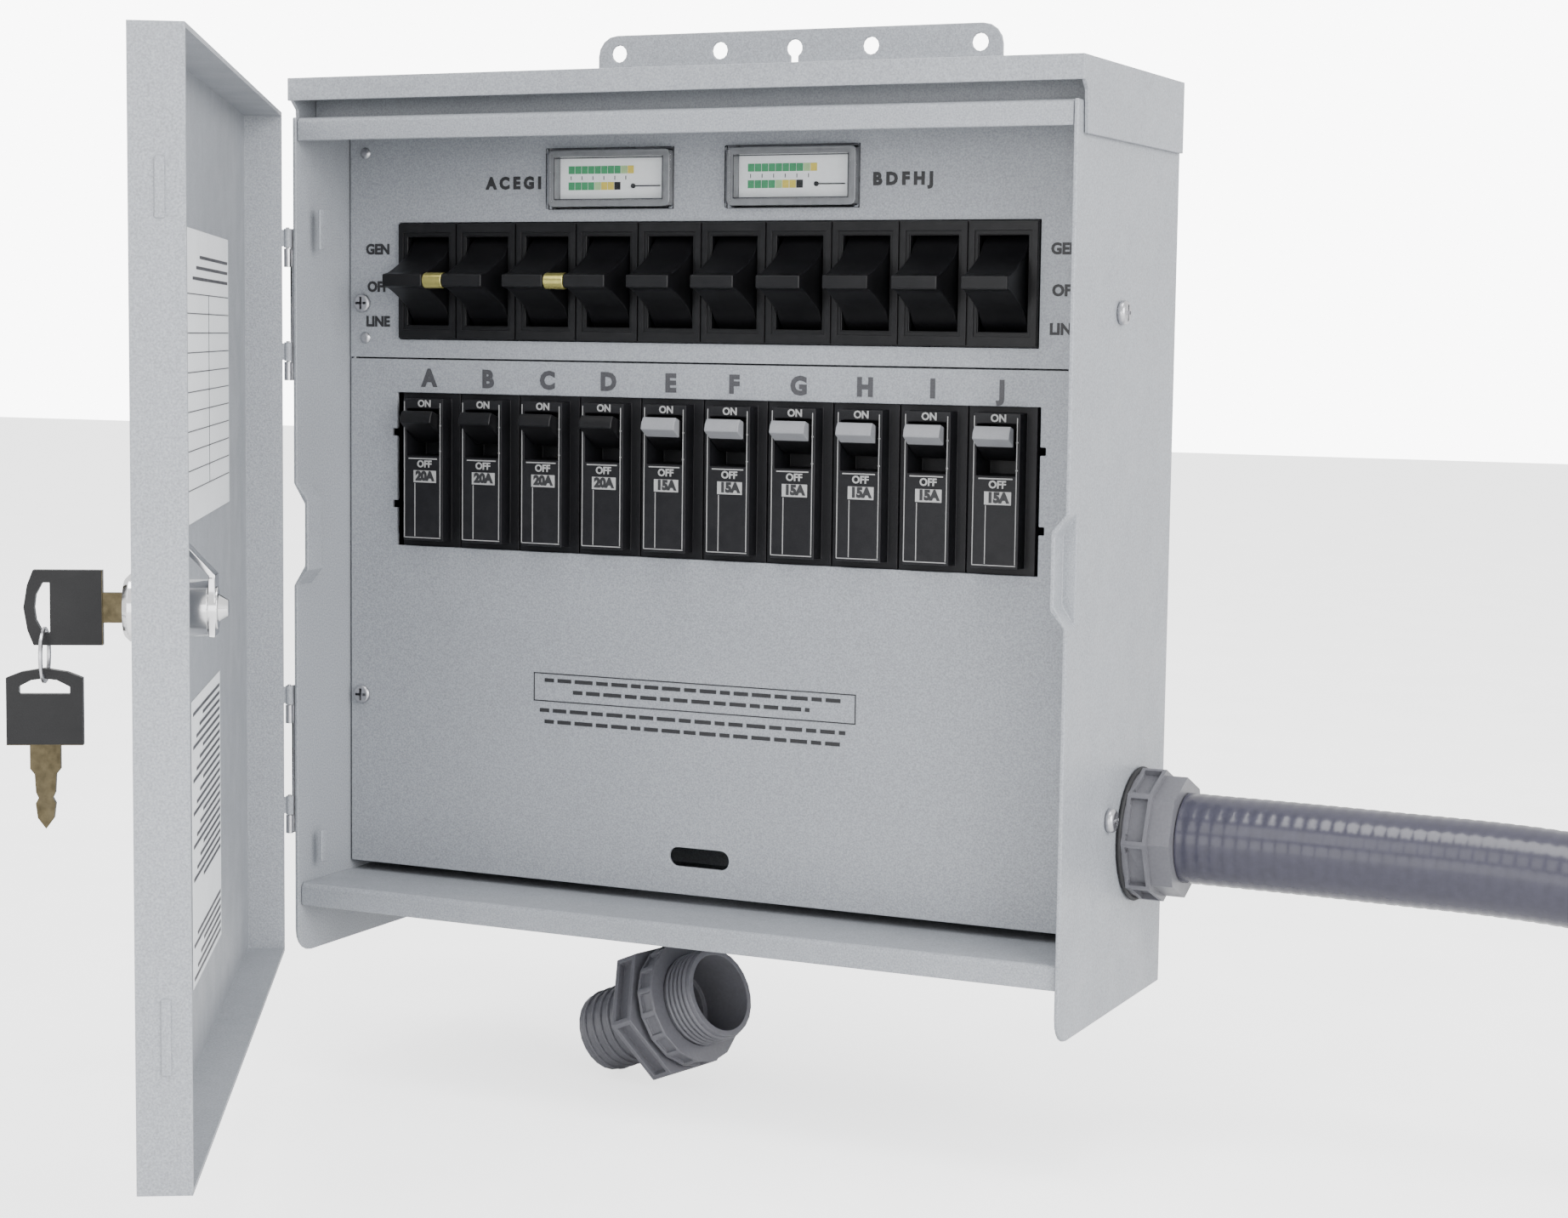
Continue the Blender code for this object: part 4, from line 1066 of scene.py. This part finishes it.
# --------------------------------------------------------------------- fittings
class SWITCH_OT_fittings(bpy.types.Operator):
    """Finish the fitting in the wall of the box and the loose one below it"""
    bl_idname = "switch.fittings"
    bl_label = "Fittings"

    def execute(self, context):
        axis = Vector((1, 0, 0))
        middle = (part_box("conduit_connector")[0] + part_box("conduit_connector")[1]) / 2
        self.slotted("conduit_connector", middle, axis, 0.0200, 0.0240, 0.0013, 0.0022)
        refined("conduit_locknut", LOOKS["nylon"], "grey_nylon", 0.0005, 3)
        self.seal(middle)
        place, along = self.loose_place()
        centre = place.translation
        self.slotted("loose_connector", centre, along, 0.0215, 0.0275, 0.0018, 0.0026,
                     MOUTH)
        self.slotted("loose_locknut", centre, along, 0.0225, 0.0240, 0.0012, 0.0012)
        self.rings(place)
        return {"FINISHED"}

    def loose_place(self):
        """Where the loose fitting lies, and the direction of its axis."""
        tilt = atan2(0.0120, 0.0280)
        turn = Matrix.Rotation(radians(-13), 4, "Z") @ Matrix.Rotation(-tilt, 4, "Y")
        centre = Vector((-0.0300, -0.0480, GROUND + 0.0270 * cos(tilt)))
        return Matrix.Translation(centre) @ turn, turn.to_3x3() @ Vector((1, 0, 0))

    def slotted(self, node, centre, axis, inner, outer, inset, depth, mouth=None):
        """The CAD shape with a hollow slot in each flat flank at a distance from its axis.

        A mouth is the radius, start and end of a wider bore along the axis.
        """
        obj = merged(node, node + "_finish")
        if mouth:
            radius, start, end = mouth
            carved(obj, rod("mouth", radius, centre + axis * start, centre + axis * end, 64))

        def flank(middle, normal):
            away = (middle - centre) - axis * (middle - centre).dot(axis)
            ahead = (middle - centre).dot(axis) > 0
            return ahead and abs(normal.dot(axis)) < 0.1 and inner < away.length < outer
        sunk(obj, flank, inset, depth)
        bevelled(obj, 0.0003, 2)
        piece(obj, body_of_node(node), LOOKS["nylon"], "grey_nylon", node)

    def seal(self, middle):
        """Dark ring between the fitting and the wall of the box: its rubber seal, with painted
        shade in the joint.
        """
        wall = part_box("right_side_panel")[1].x
        ring = hoop("fitting_seal", 0.0229, 0.0010, 0.85)
        placed(ring, Matrix.Translation((wall + 0.0011, middle.y, middle.z)))
        piece(ring, "enclosure", LOOKS["void"], "black_plastic")

    def rings(self, place):
        """Thread turns on the nose and grip ribs on the ferrule."""
        sets = (("loose_threads", 0.0166, 0.0009, 0.0216, 0.0022, 5),
                ("ferrule_ribs", 0.0150, 0.0006, -0.0245, 0.0042, 5))
        for name, radius, thick, start, pitch, count in sets:
            parts = []
            for n in range(count):
                ring = hoop(name, radius, thick, 0.9)
                parts.append(placed(ring, Matrix.Translation((start + pitch * n, 0, 0))))
            obj = placed(joined(name, parts), place)
            piece(obj, "loose_fitting", LOOKS["nylon"], "grey_nylon")


# ----------------------------------------------------------------------- add-on
STEPS = (SWITCH_OT_stage, SWITCH_OT_conduit, SWITCH_OT_enclosure, SWITCH_OT_dead_front,
         SWITCH_OT_switches, SWITCH_OT_breakers, SWITCH_OT_meters, SWITCH_OT_door,
         SWITCH_OT_keys, SWITCH_OT_fittings)


class SWITCH_PT_panel(bpy.types.Panel):
    """Lists the steps in the sidebar."""
    bl_idname = "SWITCH_PT_panel"
    bl_label = "Transfer switch"
    bl_space_type = "VIEW_3D"
    bl_region_type = "UI"
    bl_category = "Switch"

    def draw(self, context):
        for step in STEPS:
            self.layout.operator(step.bl_idname)


CLASSES = (SwitchSizes, SwitchColours) + STEPS + (SWITCH_PT_panel,)


def register():
    """Register the classes and their properties."""
    for cls in CLASSES:
        bpy.utils.register_class(cls)
    bpy.types.Scene.switch_sizes = PointerProperty(type=SwitchSizes)
    bpy.types.Scene.switch_colours = PointerProperty(type=SwitchColours)


def unregister():
    """Undo register."""
    del bpy.types.Scene.switch_colours
    del bpy.types.Scene.switch_sizes
    for cls in reversed(CLASSES):
        bpy.utils.unregister_class(cls)


def main():
    """Run every step in order."""
    register()
    for step in STEPS:
        group, name = step.bl_idname.split(".")
        getattr(getattr(bpy.ops, group), name)()


if __name__ == "__main__":
    main()
